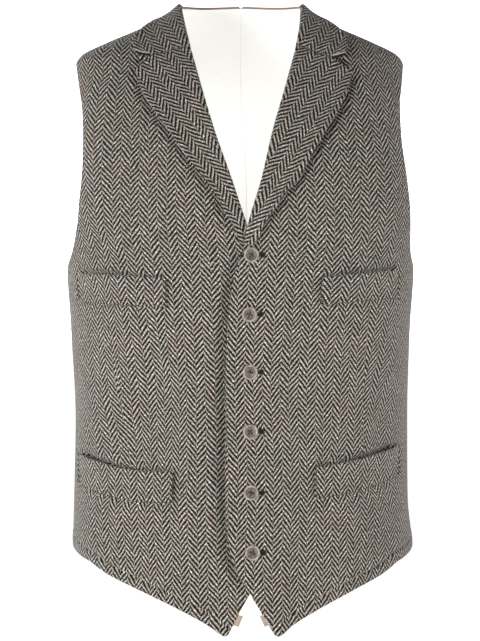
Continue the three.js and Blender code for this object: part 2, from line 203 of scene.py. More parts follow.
# Roll of a lapel or collar
ROLL_TURNS = 9  # columns round the roll
ROLL_TUCK = 7.0  # how far the cloth runs on inside
ROLL_RISE = 2.2  # how far the roll stands above a flat lapel
ROLL_SOFT = 9.0  # distance over which it comes down again
ROLL_CLEAR = 0.2  # between the cloth inside and the front that it lies on
ROLL_INSET = 3.2  # a front's own neck edge lies this far inside the lapel's roll
EDGE_LIFT_WIDTH = 14  # width of the outer edge that stands off

# Welts: their ends outward, the top edge's height at each, its sag, the depth and how far
# the mouth gapes
WELT_KEYS = "side inner outer tops sag deep gape"
WELTS = {
    "chest_welt_right": row(WELT_KEYS, RIGHT, 73.7, 164, (-255, -249), 0, 30, 1.15),
    "chest_welt_left": row(WELT_KEYS, LEFT, 81.2, 159, (-254, -246), 0, 28, 1.25),
    "hip_welt_right": row(WELT_KEYS, RIGHT, 67.3, 164, (-448.5, -433), 6, 32, 1.0),
    "hip_welt_left": row(WELT_KEYS, LEFT, 74.7, 160, (-444.6, -424.4), 3, 32, 1.15),
}
END_STITCH = row("long step radius inset out", 3.6, 5.2, 0.62, 0.2, 0.8)
PICK_STITCH = row("long step radius inset out", 1.7, 2.9, 0.4, 0.3, 0.75)

BUTTONS = table(
    "across height turn",
    (10.9, -232, 12),
    (9, -291.5, 28),
    (9.6, -349, 40),
    (10, -409, 5),
    (10.5, -470, 33),
    (12, -530, 20),
)
# Radius and height round a button, from the middle of its back to the middle of its face
BUTTON_OUTLINE = (
    (0, 0),
    (6.5, 0),
    (7.2, 0.4),
    (7.6, 1.2),
    (7.6, 2),
    (7.35, 2.65),
    (6.85, 2.95),
    (6.4, 3),
    (5.9, 2.75),
    (5.6, 2),
    (4.9, 1.85),
    (0, 1.7),
)
HOLE_OUTLINE = ((0, -1), (0.85, -1), (0.85, 1.4), (1.3, 1.95), (1.3, 5), (0, 5))
BUTTON_FACE = 1.85  # height of the dished face
BUTTON_DISH = 5.7  # its radius
HOLE_OUT = 1.55  # how far a hole lies out, each way
BUTTON_THREAD = 0.36
SLOT = row("start half eye eye_radius", -9.7, 0.9, 11.2, 1.9)  # a buttonhole
THREAD = 0.62  # radius of the thread round a buttonhole
BAR_TACK = 0.8  # radius of the one across its end

# Weave
COLUMN_WIDTH = 9.15  # of one run of slanting lines
LINE_PITCH = 5.65  # of the lines, up the cloth
LINE_RISE = 2  # pitches that a line rises across a column
LINE_BREAK = 0.4  # pitches that the lines step up from one column to the next
GRAIN_TOP = -40  # the grain lines run straight on above this height
WELT_GRAIN = -480  # height whose columns the hip welts are cut to match

# Grids, columns from the outer edge to the inner one and rows from top to hem
PANEL_WIDTH = 235
SEAMED_WIDTH = 230  # of a back half, between its seams
FRONT_LENGTH = 640
BACK_LENGTH = 660
LINING_GRID = (44, 110)
LAPEL_GRID = (26, 72)
COLLAR_GRID = (24, 30)
WELT_GRID = (34, 16)
ROW_CROWDING = 1.3
UNDERARM_ROW = 0.5**ROW_CROWDING
BACK_NECK_ROW = (6 / 22) ** ROW_CROWDING
EDGE_STEPS = 5  # strips round a folded edge
BORDERS = (np.s_[0, :], np.s_[:, -1], np.s_[-1, :], np.s_[:, 0])  # top, right, bottom, left

# Low relief: depth, then half width or reach
DART_GROOVE = (0.55, 1.5)
LAPEL_TROUGH = (3.6, 9.0)  # a front's hollow beside its lapel
LAP_TROUGH = (6.5, 13.0)  # the right front's hollow beside the lapped edge
NOTCH_HOLLOW = (5.0, 15.0)
NOTCH_LIFT = (3.0, 24.0)
MOUTH = (6.8, 5.5)  # a pocket's mouth, above its welt
WELT_HOLLOW = (1.5, 4.5)  # round a welt's ends and foot
SEAM_DIP = (0.7, 2.4)  # a sewn seam of the back
HEM_GROOVE = (1.7, 2.2)  # the line along the top of the hem
HEM_BAND = 11.0  # depth of the turned-up hem
HEM_THICK = 0.35
HEM_SHIFT = (1.2, 2.6)  # how the weave steps where the hem is turned up
FRONT_DART_AT = 100.0  # distance of the dart's column from the side, before it is moved

# Soft creases: from and to (outward, height), width and rise
CREASES = {
    RIGHT: (
        ((150, -215), (96, -262), 13, -0.9),
        ((158, -236), (118, -292), 11, 0.7),
        ((150, -322), (96, -348), 14, -0.7),
        ((156, -352), (74, -392), 16, -0.8),
        ((148, -378), (104, -404), 12, 0.6),
        ((40, -250), (92, -330), 18, 0.5),
        ((22, -560), (70, -520), 14, -0.6),
        ((60, -128), (140, -96), 20, -0.6),
    ),
    LEFT: (
        ((152, -205), (104, -258), 14, -0.9),
        ((160, -246), (126, -286), 10, 0.6),
        ((154, -318), (88, -352), 15, -0.8),
        ((158, -364), (96, -386), 13, -0.7),
        ((142, -388), (110, -412), 11, 0.5),
        ((36, -296), (84, -366), 20, 0.5),
        ((34, -572), (82, -528), 15, -0.6),
        ((70, -116), (146, -84), 18, -0.7),
    ),
}
BACK_CREASES = {
    RIGHT: (
        ((158, -238), (60, -318), 22, -3.4),
        ((164, -268), (96, -330), 15, 2.5),
        ((150, -392), (40, -372), 20, -3.0),
        ((140, -418), (62, -410), 14, 2.1),
        ((118, -40), (70, -190), 29, -2.8),
        ((150, -110), (110, -232), 17, 2.3),
        ((52, -430), (84, -590), 26, -2.7),
        ((112, -446), (128, -560), 19, 1.9),
        ((30, -60), (26, -260), 22, -1.5),
    ),
    LEFT: (
        ((160, -232), (76, -300), 20, -3.2),
        ((162, -282), (88, -352), 17, 2.3),
        ((154, -366), (48, -388), 22, -3.2),
        ((146, -402), (80, -428), 14, 1.9),
        ((110, -48), (82, -176), 26, -2.5),
        ((154, -128), (120, -226), 15, 2.1),
        ((44, -446), (66, -580), 24, -2.5),
        ((100, -430), (122, -548), 20, 2.1),
        ((36, -90), (22, -290), 24, -1.7),
    ),
}

# Weave's grain lines on each front: distance outward of the edge of every so many columns
GRAIN = {
    RIGHT: table(
        "height 0 4 8 11 14 17",
        (-40, 20.9, 57.7, 94.7, 122.1, 150.4, 168),
        (-70, 27.3, 63.8, 100.6, 126.8, 154.7, 170),
        (-100, 28.6, 65.2, 101.9, 129.2, 158, 172),
        (-130, 27.7, 65, 101.8, 130.6, 159.4, 173),
        (-190, 26.2, 64.6, 102.1, 129.9, 155.4, 171),
        (-220, 23.1, 62.3, 99.7, 127.2, 148.1, 166),
        (-240, 20.5, 59.7, 97, 123.6, 144.5, 162),
        (-290, 19.4, 57.5, 94.6, 120.3, 140.1, 157),
        (-330, 17.4, 55.5, 88.7, 116.3, 137.3, 155.6),
        (-370, 16.4, 53.7, 83.9, 111.3, 133.9, 154.5),
        (-390, 15.4, 53.7, 83.8, 109.1, 129.7, 152.4),
        (-410, 14.5, 53.7, 83, 106.3, 124.6, 149.1),
        (-445, 14.6, 53.7, 83.1, 105.6, 120.2, 145.1),
        (-475, 15.2, 53.6, 86.3, 109.4, 131, 151),
        (-490, 15.5, 53.5, 87.7, 111.4, 134.2, 153.4),
        (-540, 13.9, 51.6, 84.2, 107.1, 130.5, 152.3),
        (-580, 12.5, 50.6, 84.8, 106.2, 130, 152.3),
    ),
    LEFT: table(
        "height 1 4 8 12 16 19",
        (-40, 21.4, 47.9, 76, 106, 138, 157),
        (-70, 19.8, 46.1, 78, 112, 144, 162),
        (-100, 19.7, 45.9, 80, 116, 148.1, 167),
        (-130, 19.8, 46, 82.5, 118.4, 153.5, 170),
        (-190, 21.3, 47.7, 86, 121.7, 156.6, 171),
        (-220, 19.3, 47.3, 85.6, 121.5, 152, 168),
        (-240, 17.5, 45.6, 83.8, 120.5, 147.8, 165),
        (-290, 15.4, 43.3, 79.7, 115, 145.4, 162),
        (-330, 13.4, 40.4, 77.5, 110.4, 139.8, 158.5),
        (-370, 12.7, 38.7, 75.7, 109.3, 131.9, 150.9),
        (-390, 13.5, 39.7, 74.8, 108.3, 128.9, 145.7),
        (-410, 13.7, 40.7, 74.9, 107.2, 126.9, 141.7),
        (-433, 15.5, 41.7, 75.8, 105.4, 125.2, 141.9),
        (-470, 15.5, 42.3, 75.8, 106.6, 131.7, 148.4),
        (-490, 15.5, 42.4, 75.7, 107.3, 135.3, 152.2),
        (-540, 13.5, 40.5, 74.7, 107.2, 134, 152),
        (-580, 14.5, 41.5, 74.7, 105.1, 132.9, 152),
    ),
}

# Waist darts: distance outward of the seam, and how much cloth it takes up
DARTS = {
    RIGHT: table(
        "height across taken",
        (-280, 136, 0),
        (-327, 129, 0),
        (-350, 126, 0.6),
        (-368, 123.4, 3.4),
        (-390, 119.5, 8),
        (-408, 115.6, 9.6),
        (-440, 112, 11.2),
        (-449, 111.5, 11.5),
        (-453, 111.3, 0),
        (-500, 111, 0),
    ),
    LEFT: table(
        "height across taken",
        (-278, 131.5, 0),
        (-327, 127.9, 0.5),
        (-347, 126, 4),
        (-368, 124.4, 8),
        (-408, 124.9, 12),
        (-433, 125.2, 15),
        (-437, 125.3, 15.3),
        (-441, 125.3, 0),
        (-500, 125.6, 0),
    ),
}

# Colours, as they look on screen
LIGHT_YARN = ((166, 160, 150), (167, 157, 148), (162, 158, 149))  # plain, warm and cool
DARK_YARN = ((25, 20, 17), (33, 24, 20), (20, 19, 16))
FLECK = (208, 200, 188)
YARN_SHADE = (0.34, 1.68)  # how dark and light the yarn is in places
YARN_UNEVEN = 3.6  # how ragged the lines are at the scale of a yarn
TUFT_UNEVEN = 1.2
LINE_BALANCE = 0.35  # above 0 the dark lines are the wider ones
LINE_BLUR = 0.65
SATIN_COLOURS = ((156, 137, 122), (146, 127, 112))
LINING_COLOURS = ((243, 242, 239), (238, 237, 233))
HORN = ((112, 102, 92), (178, 167, 154))
# painted shade: a darker copy of the horn for a button's dished face
HORN_PAINTED_SHADE = ((72, 62, 55), (110, 99, 91))
THREAD_COLOURS = ((12, 10, 9), (32, 28, 25))
# painted highlight: the pale tube along the collar's lower edge at each notch
PAINTED_HIGHLIGHT_COLOURS = ((176, 168, 156), (206, 199, 188))
# painted shade: near-black for the floors of buttonhole slots and the tube under each notch
PAINTED_SHADE_COLOURS = ((14, 12, 11), (26, 23, 20))
MATERIALS = {}

# Stage, in metres
CAMERA_PLACE = (-0.0005, -3.125, -0.2975)
CAMERA_LENS = 168.49
FLOOR_HEIGHT = -0.75
FLOOR_REACH = 60
FLOOR_GLOW = 0.8
LIGHT_KEYS = "place aim_at size power"
KEY_LIGHT = row(LIGHT_KEYS, (-1.9, -2.7, -0.62), (0, 0, -0.35), 1.4, 70)
INSIDE_LIGHT = row(LIGHT_KEYS, (-0.01, -0.045, -0.12), (-0.005, 0.1, -0.12), 0.2, 0.195)
CARD = ((-1.0, -1.2, 0.08), (1.0, -1.2, -0.11), (1.0, -1.2, 0.8), (-1.0, -1.2, 0.8))
STUDIO_LIGHT = (-0.1, 0.9, 2.3, 9.8)  # strength from 2.3 behind the piece to 9.8 before it
STUDIO_FRONT = (0.22, -0.975, 0)
DARK_LIGHT = (0.03, 0.36, 1.0, 0.02)  # and the share of it that is left high above
DARK_SIDE = (0.04, -0.1, 0.99)


def mix(a, b, t):
    return a + (b - a) * t


def fade(value, start, end):
    """A soft step, 0 at start and 1 at end."""
    t = np.clip((value - start) / (end - start), 0, 1)
    return t * t * (3 - 2 * t)


def bump(distance, width):
    """A soft hill of height 1 that is gone at one width from its middle."""
    return np.clip(1 - (distance / width) ** 2, 0, None) ** 2


def signed_power(value, power):
    return np.sign(value) * np.abs(value) ** power


def unit(vectors):
    return vectors / np.maximum(np.linalg.norm(vectors, axis=-1, keepdims=True), 1e-9)


def stack(*parts):
    return np.stack(parts, -1)


def column(rows, name, key="height"):
    """A smooth curve through a table's column that never overshoots its rows."""
    order = np.argsort(rows[key])
    at, value = rows[key][order], rows[name][order]
    slope = np.diff(value) / np.diff(at)
    before, after = slope[:-1], slope[1:]
    same_way = before * after > 0
    total = np.where(same_way, before + after, 1)
    inner = np.where(same_way, 2 * before * after / total, 0)
    tangent = np.concatenate((slope[:1], inner, slope[-1:]))

    def read(where):
        x = np.clip(where, at[0], at[-1])
        i = np.clip(np.searchsorted(at, x, side="right") - 1, 0, len(at) - 2)
        step = at[i + 1] - at[i]
        t = (x - at[i]) / step
        rise = value[i + 1] - value[i]
        bend = step * (tangent[i] * (1 - t) - tangent[i + 1] * t) - rise * (1 - 2 * t)
        return value[i] + rise * t + t * (1 - t) * bend

    return read


half_width = column(SECTIONS, "half")
lean_at = column(SECTIONS, "lean")
REACH = {face: column(SECTIONS, face) for face in FACING}


def body_normal(x, y, height, face):
    """Outward direction at a point of the body, from how its section changes."""
    half, deep = half_width(height), REACH[face](height)
    half_slope = half_width(height + 0.5) - half_width(height - 0.5)
    deep_slope = REACH[face](height + 0.5) - REACH[face](height - 0.5)
    a, b = np.abs(x / half), np.abs(y / deep)
    up = -(a**ROUNDNESS) * half_slope / half - b**ROUNDNESS * deep_slope / deep
    power = ROUNDNESS - 1
    return unit(stack(np.sign(x) * a**power / half, np.sign(y) * b**power / deep, up))


def body_point(angle, height, face, out=0.0):
    """Point of the body at an angle from a face's middle, moved out, and its outward direction."""
    power = 2 / ROUNDNESS
    x = half_width(height) * signed_power(np.sin(angle), power)
    y = FACING[face] * REACH[face](height) * signed_power(np.cos(angle), power)
    normal = body_normal(x, y, height, face)
    point = stack(x + lean_at(height), y, height)
    return point + normal * np.asarray(out)[..., None], normal


def angle_across(across, height):
    share = np.clip((across - lean_at(height)) / half_width(height), -1, 1)
    return np.arcsin(signed_power(share, ROUNDNESS / 2))


def angle_deep(deep, height, face):
    return np.arccos(np.clip(deep / REACH[face](height), 0, 1) ** (ROUNDNESS / 2))


def lap_lift(side, across, height):
    """How far a front, and what lies on it, stands off where it laps over the other one."""
    if side == RIGHT:
        return np.zeros_like(across)
    return LAP_LIFT * fade(across, LAP_FROM, LAP_FULL) * fade(height, LAP_TOP, LAP_WHOLE)


def front_point(side, across, height, out=0.0):
    """Point of a front at a distance across and a height, moved out, and its outward direction."""
    across, height = np.broadcast_arrays(np.asarray(across, float), np.asarray(height, float))
    lift = lap_lift(side, across, height)
    return body_point(angle_across(across, height), height, "front", out + lift)


def spline(points, steps=40):
    """Points along a centripetal curve through the given ones."""
    padded = np.vstack([2 * points[0] - points[1], points, 2 * points[-1] - points[-2]])
    gap = np.sqrt(np.linalg.norm(np.diff(padded, axis=0), axis=1))
    t = np.linspace(0, 1, steps, endpoint=False)[:, None]
    parts = []
    for i in range(len(points) - 1):
        p0, p1, p2, p3 = padded[i : i + 4]
        d0, d1, d2 = gap[i : i + 3]
        out1 = ((p1 - p0) / d0 - (p2 - p0) / (d0 + d1) + (p2 - p1) / d1) * d1
        out2 = ((p2 - p1) / d1 - (p3 - p1) / (d1 + d2) + (p3 - p2) / d2) * d1
        square = 3 * (p2 - p1) - 2 * out1 - out2
        parts.append(p1 + t * out1 + t**2 * square + t**3 * (2 * (p1 - p2) + out1 + out2))
    return np.vstack([*parts, points[-1:]])


def edge_curve(across, height):
    """An edge through the given places, read by its share of the way along it."""
    line = spline(stack(across, height))
    run = np.concatenate(([0], np.cumsum(np.linalg.norm(np.diff(line, axis=0), axis=1))))
    run /= run[-1]
    return lambda share: (np.interp(share, run, line[:, 0]), np.interp(share, run, line[:, 1]))


def outer_edge(face, v, inset=0.0, hem=SIDE_HEM):
    """Armhole and side seam, as height and depth, for v from 0 at the shoulder to 1 at the hem."""
    deep, height = edge_curve(ARMHOLE[face], ARMHOLE["height"])(np.clip(v / UNDERARM_ROW, 0, 1))
    height = height * mix(1, (UNDERARM - inset) / UNDERARM, v / UNDERARM_ROW)
    deep = np.maximum(deep + inset * np.minimum(1, deep / 10), SEAM_GAP / 2)
    below = v > UNDERARM_ROW
    seam = mix(UNDERARM - inset, hem, (v - UNDERARM_ROW) / (1 - UNDERARM_ROW))
    return np.where(below, seam, height), np.where(below, SEAM_GAP / 2, deep)


def front_inner_edge(side, v):
    """Neck and front edge of one front, as height and distance across."""
    at, across = FRONT_EDGE["height"], FRONT_EDGE[SIDE_NAME[side]]
    upper, lower = at >= BREAK_POINT, at <= BREAK_POINT
    top = edge_curve(across[upper], at[upper])(v / UNDERARM_ROW)
    rest = edge_curve(across[lower], at[lower])((v - UNDERARM_ROW) / (1 - UNDERARM_ROW))
    place = np.where(v < UNDERARM_ROW, top, rest)
    return place[1], place[0]


def hem_bow(line, s, v):
    """How far the hem's own line lies off a straight one, less and less further up."""
    height = column(line, "height", "share")
    rise, reach = SIDE_CORNER
    drop, place, round_it = SIDE_DROP
    corner = rise * bump(s, reach) - drop * bump(s - place, round_it)
    return (height(s) - mix(height(0.0), height(1.0), s) + corner) * v**3


def near_point(s, v):
    """Turns the square corner at a front's point into an arc."""
    across = POINT_RADIUS - (1 - s) * PANEL_WIDTH
    along = POINT_RADIUS - (1 - v) * FRONT_LENGTH
    reach = np.maximum(np.hypot(across, along), 1e-9)
    shrink = np.where((across > 0) & (along > 0), np.maximum(across, along) / reach, 1)
    s = 1 - (POINT_RADIUS - across * shrink) / PANEL_WIDTH
    return s, 1 - (POINT_RADIUS - along * shrink) / FRONT_LENGTH


def front_spot(side, s, v):
    """Angle and height of a place on a front, s from the outer edge to the inner one."""
    s, v = near_point(s, v)
    start_height, start_deep = outer_edge("front", v)
    end_height, end_across = front_inner_edge(side, v)
    end_across = end_across + side * ROLL_INSET * fade(end_height, LAPEL_END, LAPEL_END + 25)
    height = mix(start_height, end_height, s) + hem_bow(HEM, s, v)
    start_angle = side * angle_deep(start_deep, start_height, "front")
    limit = angle_deep(SEAM_GAP / 2, end_height, "front")
    end_angle = np.clip(angle_across(end_across, end_height), -limit, limit)
    return mix(start_angle, end_angle, s), height


def creases(rows, outward, height):
    """Soft ridges and troughs along lines, fading towards their ends."""
    total = np.zeros_like(outward)
    for start, end, width, rise in rows:
        along = np.array(end, float) - start
        length = np.hypot(*along)
        x, y = outward - start[0], height - start[1]
        share = (x * along[0] + y * along[1]) / length**2
        aside = (x * along[1] - y * along[0]) / length
        bowed = aside - 0.06 * length * np.sin(math.pi * np.clip(share, 0, 1))
        total += rise * bump(bowed, width) * fade(share, -0.12, 0.18) * fade(share, 1.09, 0.64)
    return total


def lapel_trough(side, outward, height):
    """How far a front falls in beside its lapel's outer edge."""
    depth, width = LAPEL_TROUGH
    beyond = outward - np.abs(column(LAPEL_EDGE, SIDE_NAME[side])(height))
    ends = fade(height, -42, -52) * fade(height, -212, -192)
    return depth * np.where(beyond < 1, fade(beyond, -12, 0), bump(beyond - 1, width)) * ends


def lap_trough(outward, height):
    """How far the right front falls in beside the left one's lapped edge."""
    depth, width = LAP_TROUGH
    beyond = outward + column(FRONT_EDGE, "left")(height)
    ends = fade(height, BREAK_POINT + 2, BREAK_POINT - 14) * fade(height, -566, -546)
    return depth * np.where(beyond < 1, 1, bump(beyond - 1, width)) * ends * fade(beyond, -30, -10)


def dart_groove(side, outward, height):
    """How deep a waist dart's seam lies."""
    depth, width = DART_GROOVE
    top = DARTS[side]["height"][0]
    ends = fade(height, top, top - 12) * fade(height, -470, -462)
    return depth * bump(outward - column(DARTS[side], "across")(height), width) * ends


def notch_bump(size, side, across, height, beyond, squash=1.0):
    """A soft hill round a place a little outside the notch."""
    rise, reach = size
    out = np.abs(across) - abs(LAPELS[side]["notch"]) - beyond
    return rise * bump(np.hypot(out, squash * (height - NOTCH_HEIGHT)), reach)


def welt_top(welt, outward):
    """Height of a welt's top edge at a distance outward, and its share along the welt."""
    share = np.clip((outward - welt["inner"]) / (welt["outer"] - welt["inner"]), 0, 1)
    return mix(*welt["tops"], share) - welt["sag"] * np.sin(math.pi * share), share


def welt_hollow(welt, outward, height):
    """How far a front falls in at a pocket's mouth and round its welt's other edges."""
    top, share = welt_top(welt, outward)
    inner, outer, above = welt["inner"], welt["outer"], height - top
    ends = fade(outward, inner, inner + 6) * fade(outward, outer, outer - 6)
    depth, reach = MOUTH
    fall = np.where(above > 0, bump(above, reach), fade(above, -9, 0))
    mouth = welt["gape"] * depth * mix(0.7, 1, share) * fall * ends
    beyond = np.maximum(np.maximum(inner - outward, outward - outer), -welt["deep"] - above)
    depth, reach = WELT_HOLLOW
    return mouth + depth * bump(beyond - 0.8, reach) * fade(above, 2, -2)


def front_relief(side, across, height):
    """How far a front's cloth rises over its smooth form."""
    outward = side * across
    relief = creases(CREASES[side], outward, height) - dart_groove(side, outward, height)
    relief -= lapel_trough(side, outward, height)
    relief -= notch_bump(NOTCH_HOLLOW, side, across, height, 8, 1.4)
    if side == RIGHT:
        relief -= lap_trough(outward, height)
    for welt in WELTS.values():
        if welt["side"] == side:
            relief -= welt_hollow(welt, outward, height)
    return relief


def girth(angle, height, face, steps=40):
    """Distance round the body at one height, from the middle of the face."""
    share = np.linspace(0, 1, steps + 1)[:, None]
    flat_angle, flat_height = np.abs(angle).ravel(), height.ravel()
    power = 2 / ROUNDNESS
    x = half_width(flat_height) * np.sin(share * flat_angle) ** power
    y = REACH[face](flat_height) * np.cos(share * flat_angle) ** power
    run = np.hypot(np.diff(x, axis=0), np.diff(y, axis=0)).sum(0)
    return np.sign(angle) * run.reshape(angle.shape)


def length_down(face):
    """Distance down the cloth, read by height."""
    height = np.linspace(70, -660, 731)
    reach = 0.8 * REACH[face](height)
    run = np.concatenate(([0], np.cumsum(np.hypot(np.diff(height), np.diff(reach)))))
    return lambda where: np.interp(-where, -height, run)


DOWN = {face: length_down(face) for face in FACING}


def cloth_place(angle, height, face, side=1):
    """Place on the flat cloth, in mm round the body and up."""
    return stack(side * girth(angle, height, face), -DOWN[face](height))


def grain(side, around, height):
    """Turns a distance round a front into one across the weave, along the grain lines.
    The cloth that the dart takes up is left out."""
    lines = [key for key in GRAIN[side] if key != "height"]
    taken = column(DARTS[side], "taken")(height)
    places, numbers = [], []
    for key in lines:
        across = side * column(GRAIN[side], key)(height)
        places.append(side * girth(angle_across(across, height), height, "front"))
        numbers.append(int(key) * COLUMN_WIDTH - taken * (int(key) >= int(lines[-2])))
    result = numbers[0] + np.minimum(around - places[0], 0) + np.maximum(around - places[-1], 0)
    for i in range(len(lines) - 1):
        share = np.clip((around - places[i]) / (places[i + 1] - places[i]), 0, 1)
        result = result + (numbers[i + 1] - numbers[i]) * share
    return result


def front_weave(side, angle, height, like=None):
    """Place in the weave of a front, or of a piece cut like the cloth at one height."""
    place = cloth_place(angle, height, "front", side)
    level = np.minimum(height, GRAIN_TOP) if like is None else np.full_like(height, like)
    return stack(grain(side, place[..., 0], level), place[..., 1])


def turned(place, degrees, origin):
    """Cloth places on a piece whose weave is turned about an origin."""
    turn = math.radians(degrees)
    u, v = place[..., 0] - origin[0], place[..., 1] - origin[1]
    return stack(u * math.cos(turn) - v * math.sin(turn), v * math.cos(turn) + u * math.sin(turn))


def border(rows, columns):
    """Indices round the edge of a grid, in order, and which side each step runs along."""
    index = np.arange(rows * columns).reshape(rows, columns)
    runs = index[0, :-1], index[:-1, -1], index[-1, :0:-1], index[:0:-1, 0]
    return np.concatenate(runs), np.repeat([0, 1, 2, 3], [len(run) for run in runs])


def outward_edges(mid, normal):
    """Direction out of the grid's border, in the surface, zero elsewhere."""
    down, along = (unit(np.gradient(mid, axis=axis)) for axis in (0, 1))
    out = np.zeros_like(mid)
    for where, edge, away in zip(BORDERS, (along, down) * 2, (-down, along, down, -along)):
        across = np.cross(edge[where], normal[where])
        across *= np.sign((across * away[where]).sum(-1, keepdims=True))
        out[where] += unit(across)
    return unit(out)


def edge_slope(mid, cloth):
    """How fast the places on the cloth run on past the grid's border, zero elsewhere."""
    inner = np.ix_(*(np.clip(np.arange(count), 1, count - 2) for count in mid.shape[:2]))
    run = np.maximum(np.linalg.norm(mid - mid[inner], axis=-1, keepdims=True), 0.5)
    return (cloth - cloth[inner]) / run


def bake_places(rows, columns, quads, sides):
    """Where each face lies in the square that the finish is baked to: the outer layer,
    the inner one, and a band for each side's folded edge."""
    down, along = np.divmod(np.arange(rows * columns), columns)
    grid = stack(along / (columns - 1), 1 - down / (rows - 1))[quads]
    outer = grid * [0.60, 0.98] + 0.01
    inner = grid[:, ::-1] * [0.30, 0.98] + [0.63, 0.01]
    per_side = np.array([columns - 1, rows - 1] * 2)[sides]
    start = (np.arange(len(sides)) - np.searchsorted(sides, sides)) / per_side
    low, high = 0.01 + 0.98 * start, 0.01 + 0.98 * (start + 1 / per_side)
    strips = []
    for k in range(EDGE_STEPS):
        left = 0.945 + 0.0125 * sides + 0.009 * k / EDGE_STEPS
        right = left + 0.009 / EDGE_STEPS
        strips.append(stack(left, low, left, high, right, high, right, low).reshape(-1, 4, 2))
    return np.vstack([outer, inner, *strips])


def add_object(name, data):
    thing = bpy.data.objects.new(name, data)
    bpy.context.scene.collection.objects.link(thing)
    return thing


def make_mesh(name, points, faces, slots, uv_layers):
    mesh = bpy.data.meshes.new(name)
    mesh.from_pydata((points * MM).tolist(), [], faces)
    for label, places in uv_layers.items():
        layer = mesh.uv_layers.new(name=label)
        layer.data.foreach_set("uv", np.ascontiguousarray(places, np.float32).ravel())
    mesh.polygons.foreach_set("material_index", slots)
    mesh.polygons.foreach_set("use_smooth", np.ones(len(faces), bool))
    mesh.update()
    return add_object(name, mesh)


def shell(name, mid, towards, thickness, cloth, edge, inner_faces=None, dart=None):
    """A closed cloth wall round a grid of middle points, with rounded edges.
    cloth is the grid's place on the flat cloth. edge is how far the rounding reaches in
    on each of the four sides: top, right, bottom and left of the grid. dart is a column and
    the cloth that each row has more of before it."""
    rows, columns = mid.shape[:2]
    count, radius = rows * columns, thickness / 2
    normal = unit(np.cross(np.gradient(mid, axis=1), np.gradient(mid, axis=0)))
    normal *= np.sign((normal * towards).sum(-1, keepdims=True))
    out, slope = outward_edges(mid, normal), edge_slope(mid, cloth)
    inset = np.zeros((rows, columns, 1))
    for where, reach in zip(BORDERS, edge):
        inset[where] = np.maximum(inset[where], reach)
    mid, cloth = mid - out * inset, cloth - slope * inset
    mid, normal, cloth = (part.reshape(count, -1) for part in (mid, normal, cloth))
    out, slope, inset = (part.reshape(count, -1) for part in (out, slope, inset))
    loop, sides = border(rows, columns)
    points, places = [mid + radius * normal, mid - radius * normal], [cloth, cloth]
    for k in range(1, EDGE_STEPS):
        turn = math.pi * k / EDGE_STEPS
        sideways = inset[loop] * math.sin(turn) * out[loop]
        points.append(mid[loop] + sideways + radius * math.cos(turn) * normal[loop])
        places.append(cloth[loop] + slope[loop] * turn * radius)
    quads, faces = shell_faces(rows, columns, loop)
    face_cloth = np.vstack(places)[faces]
    if dart is not None:
        seam, taken = dart
        outside = np.flatnonzero((quads % columns).min(1) < seam)
        face_cloth[outside, :, 0] += taken[quads[outside] // columns]
    slots = np.zeros(len(faces), np.int32)
    if inner_faces is not None:
        slots[len(quads) : 2 * len(quads)] = inner_faces.reshape(-1)
    uv_layers = {"Cloth": face_cloth, "OFBake": bake_places(rows, columns, quads, sides)}
    piece = make_mesh(name, np.vstack(points), faces.tolist(), slots, uv_layers)
    if piece.data.polygons[0].normal.dot(Vector(normal[0])) < 0:
        piece.data.flip_normals()
    return piece


def shell_faces(rows, columns, loop):
    """The outer layer's faces, and all of them: outer and inner layer, then the folded edge."""
    index = np.arange(rows * columns).reshape(rows, columns)
    quads = stack(index[:-1, :-1], index[1:, :-1], index[1:, 1:], index[:-1, 1:]).reshape(-1, 4)
    around = np.arange(len(loop)) + 2 * index.size
    rings = [loop, *(around + k * len(loop) for k in range(EDGE_STEPS - 1)), loop + index.size]
    strips = [stack(a, np.roll(a, -1), np.roll(b, -1), b) for a, b in zip(rings, rings[1:])]
    return quads, np.vstack([quads, quads[:, ::-1] + index.size, *strips])


def sheet_piece(node, flat, looks, *grid, **extra):
    """A cloth piece in its node's place, with its looks."""
    piece = shell(f"{node}_cloth", *grid, **extra)
    paint(piece, *looks)
    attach(piece, "root")
    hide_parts(node)


def crowded(length, near, fine, coarse):
    """Shares along a length, closer together near the given distances."""
    places = [0.0]
    while places[-1] < length:
        gap = min(abs(places[-1] - place) for place in near)
        places.append(places[-1] + min(coarse, fine + 0.3 * gap))
    return np.array(places) / places[-1]


def front_shares(side):
    """Shares of a front's grid, with one column moved on to the dart's seam."""
    across = crowded(PANEL_WIDTH, (0, FRONT_DART_AT, PANEL_WIDTH), 0.8, 2.5)
    down = crowded(FRONT_LENGTH, (0, FRONT_LENGTH - HEM_BAND, FRONT_LENGTH), 0.9, 2.8)
    down = down**ROW_CROWDING
    seam = int(np.argmin(np.abs(across * PANEL_WIDTH - FRONT_DART_AT)))
    on_seam, top = across[seam], DARTS[side]["height"][0]
    at = np.full(len(down), on_seam)
    for _ in range(3):
        start, end = (front_spot(side, share + 0 * at, down)[0] for share in (0, 1))
        height = front_spot(side, at, down)[1]
        target = angle_across(side * column(DARTS[side], "across")(height), height)
        wanted = np.clip((target - start) / (end - start), 0.2, 0.8)
        at = mix(on_seam, wanted, fade(height, top + 60, top) * fade(height, -560, -500))
    s, v = np.meshgrid(across, down)
    at = at[:, None]
    moved = np.where(s < on_seam, s * at / on_seam, 1 - (1 - s) * (1 - at) / (1 - on_seam))
    return moved, v, seam


def above_hem(points):
    """Distance of each place of a grid above the hem, along the cloth."""
    steps = np.linalg.norm(np.diff(points, axis=0), axis=-1)
    return np.vstack([np.cumsum(steps[::-1], axis=0)[::-1], np.zeros((1, points.shape[1]))])


def hem_relief(points):
    """The line of the turned-up hem, and the cloth doubled below it."""
    above = above_hem(points)
    depth, width = HEM_GROOVE
    return HEM_THICK * fade(above, HEM_BAND, HEM_BAND - 2) - depth * bump(above - HEM_BAND, width)


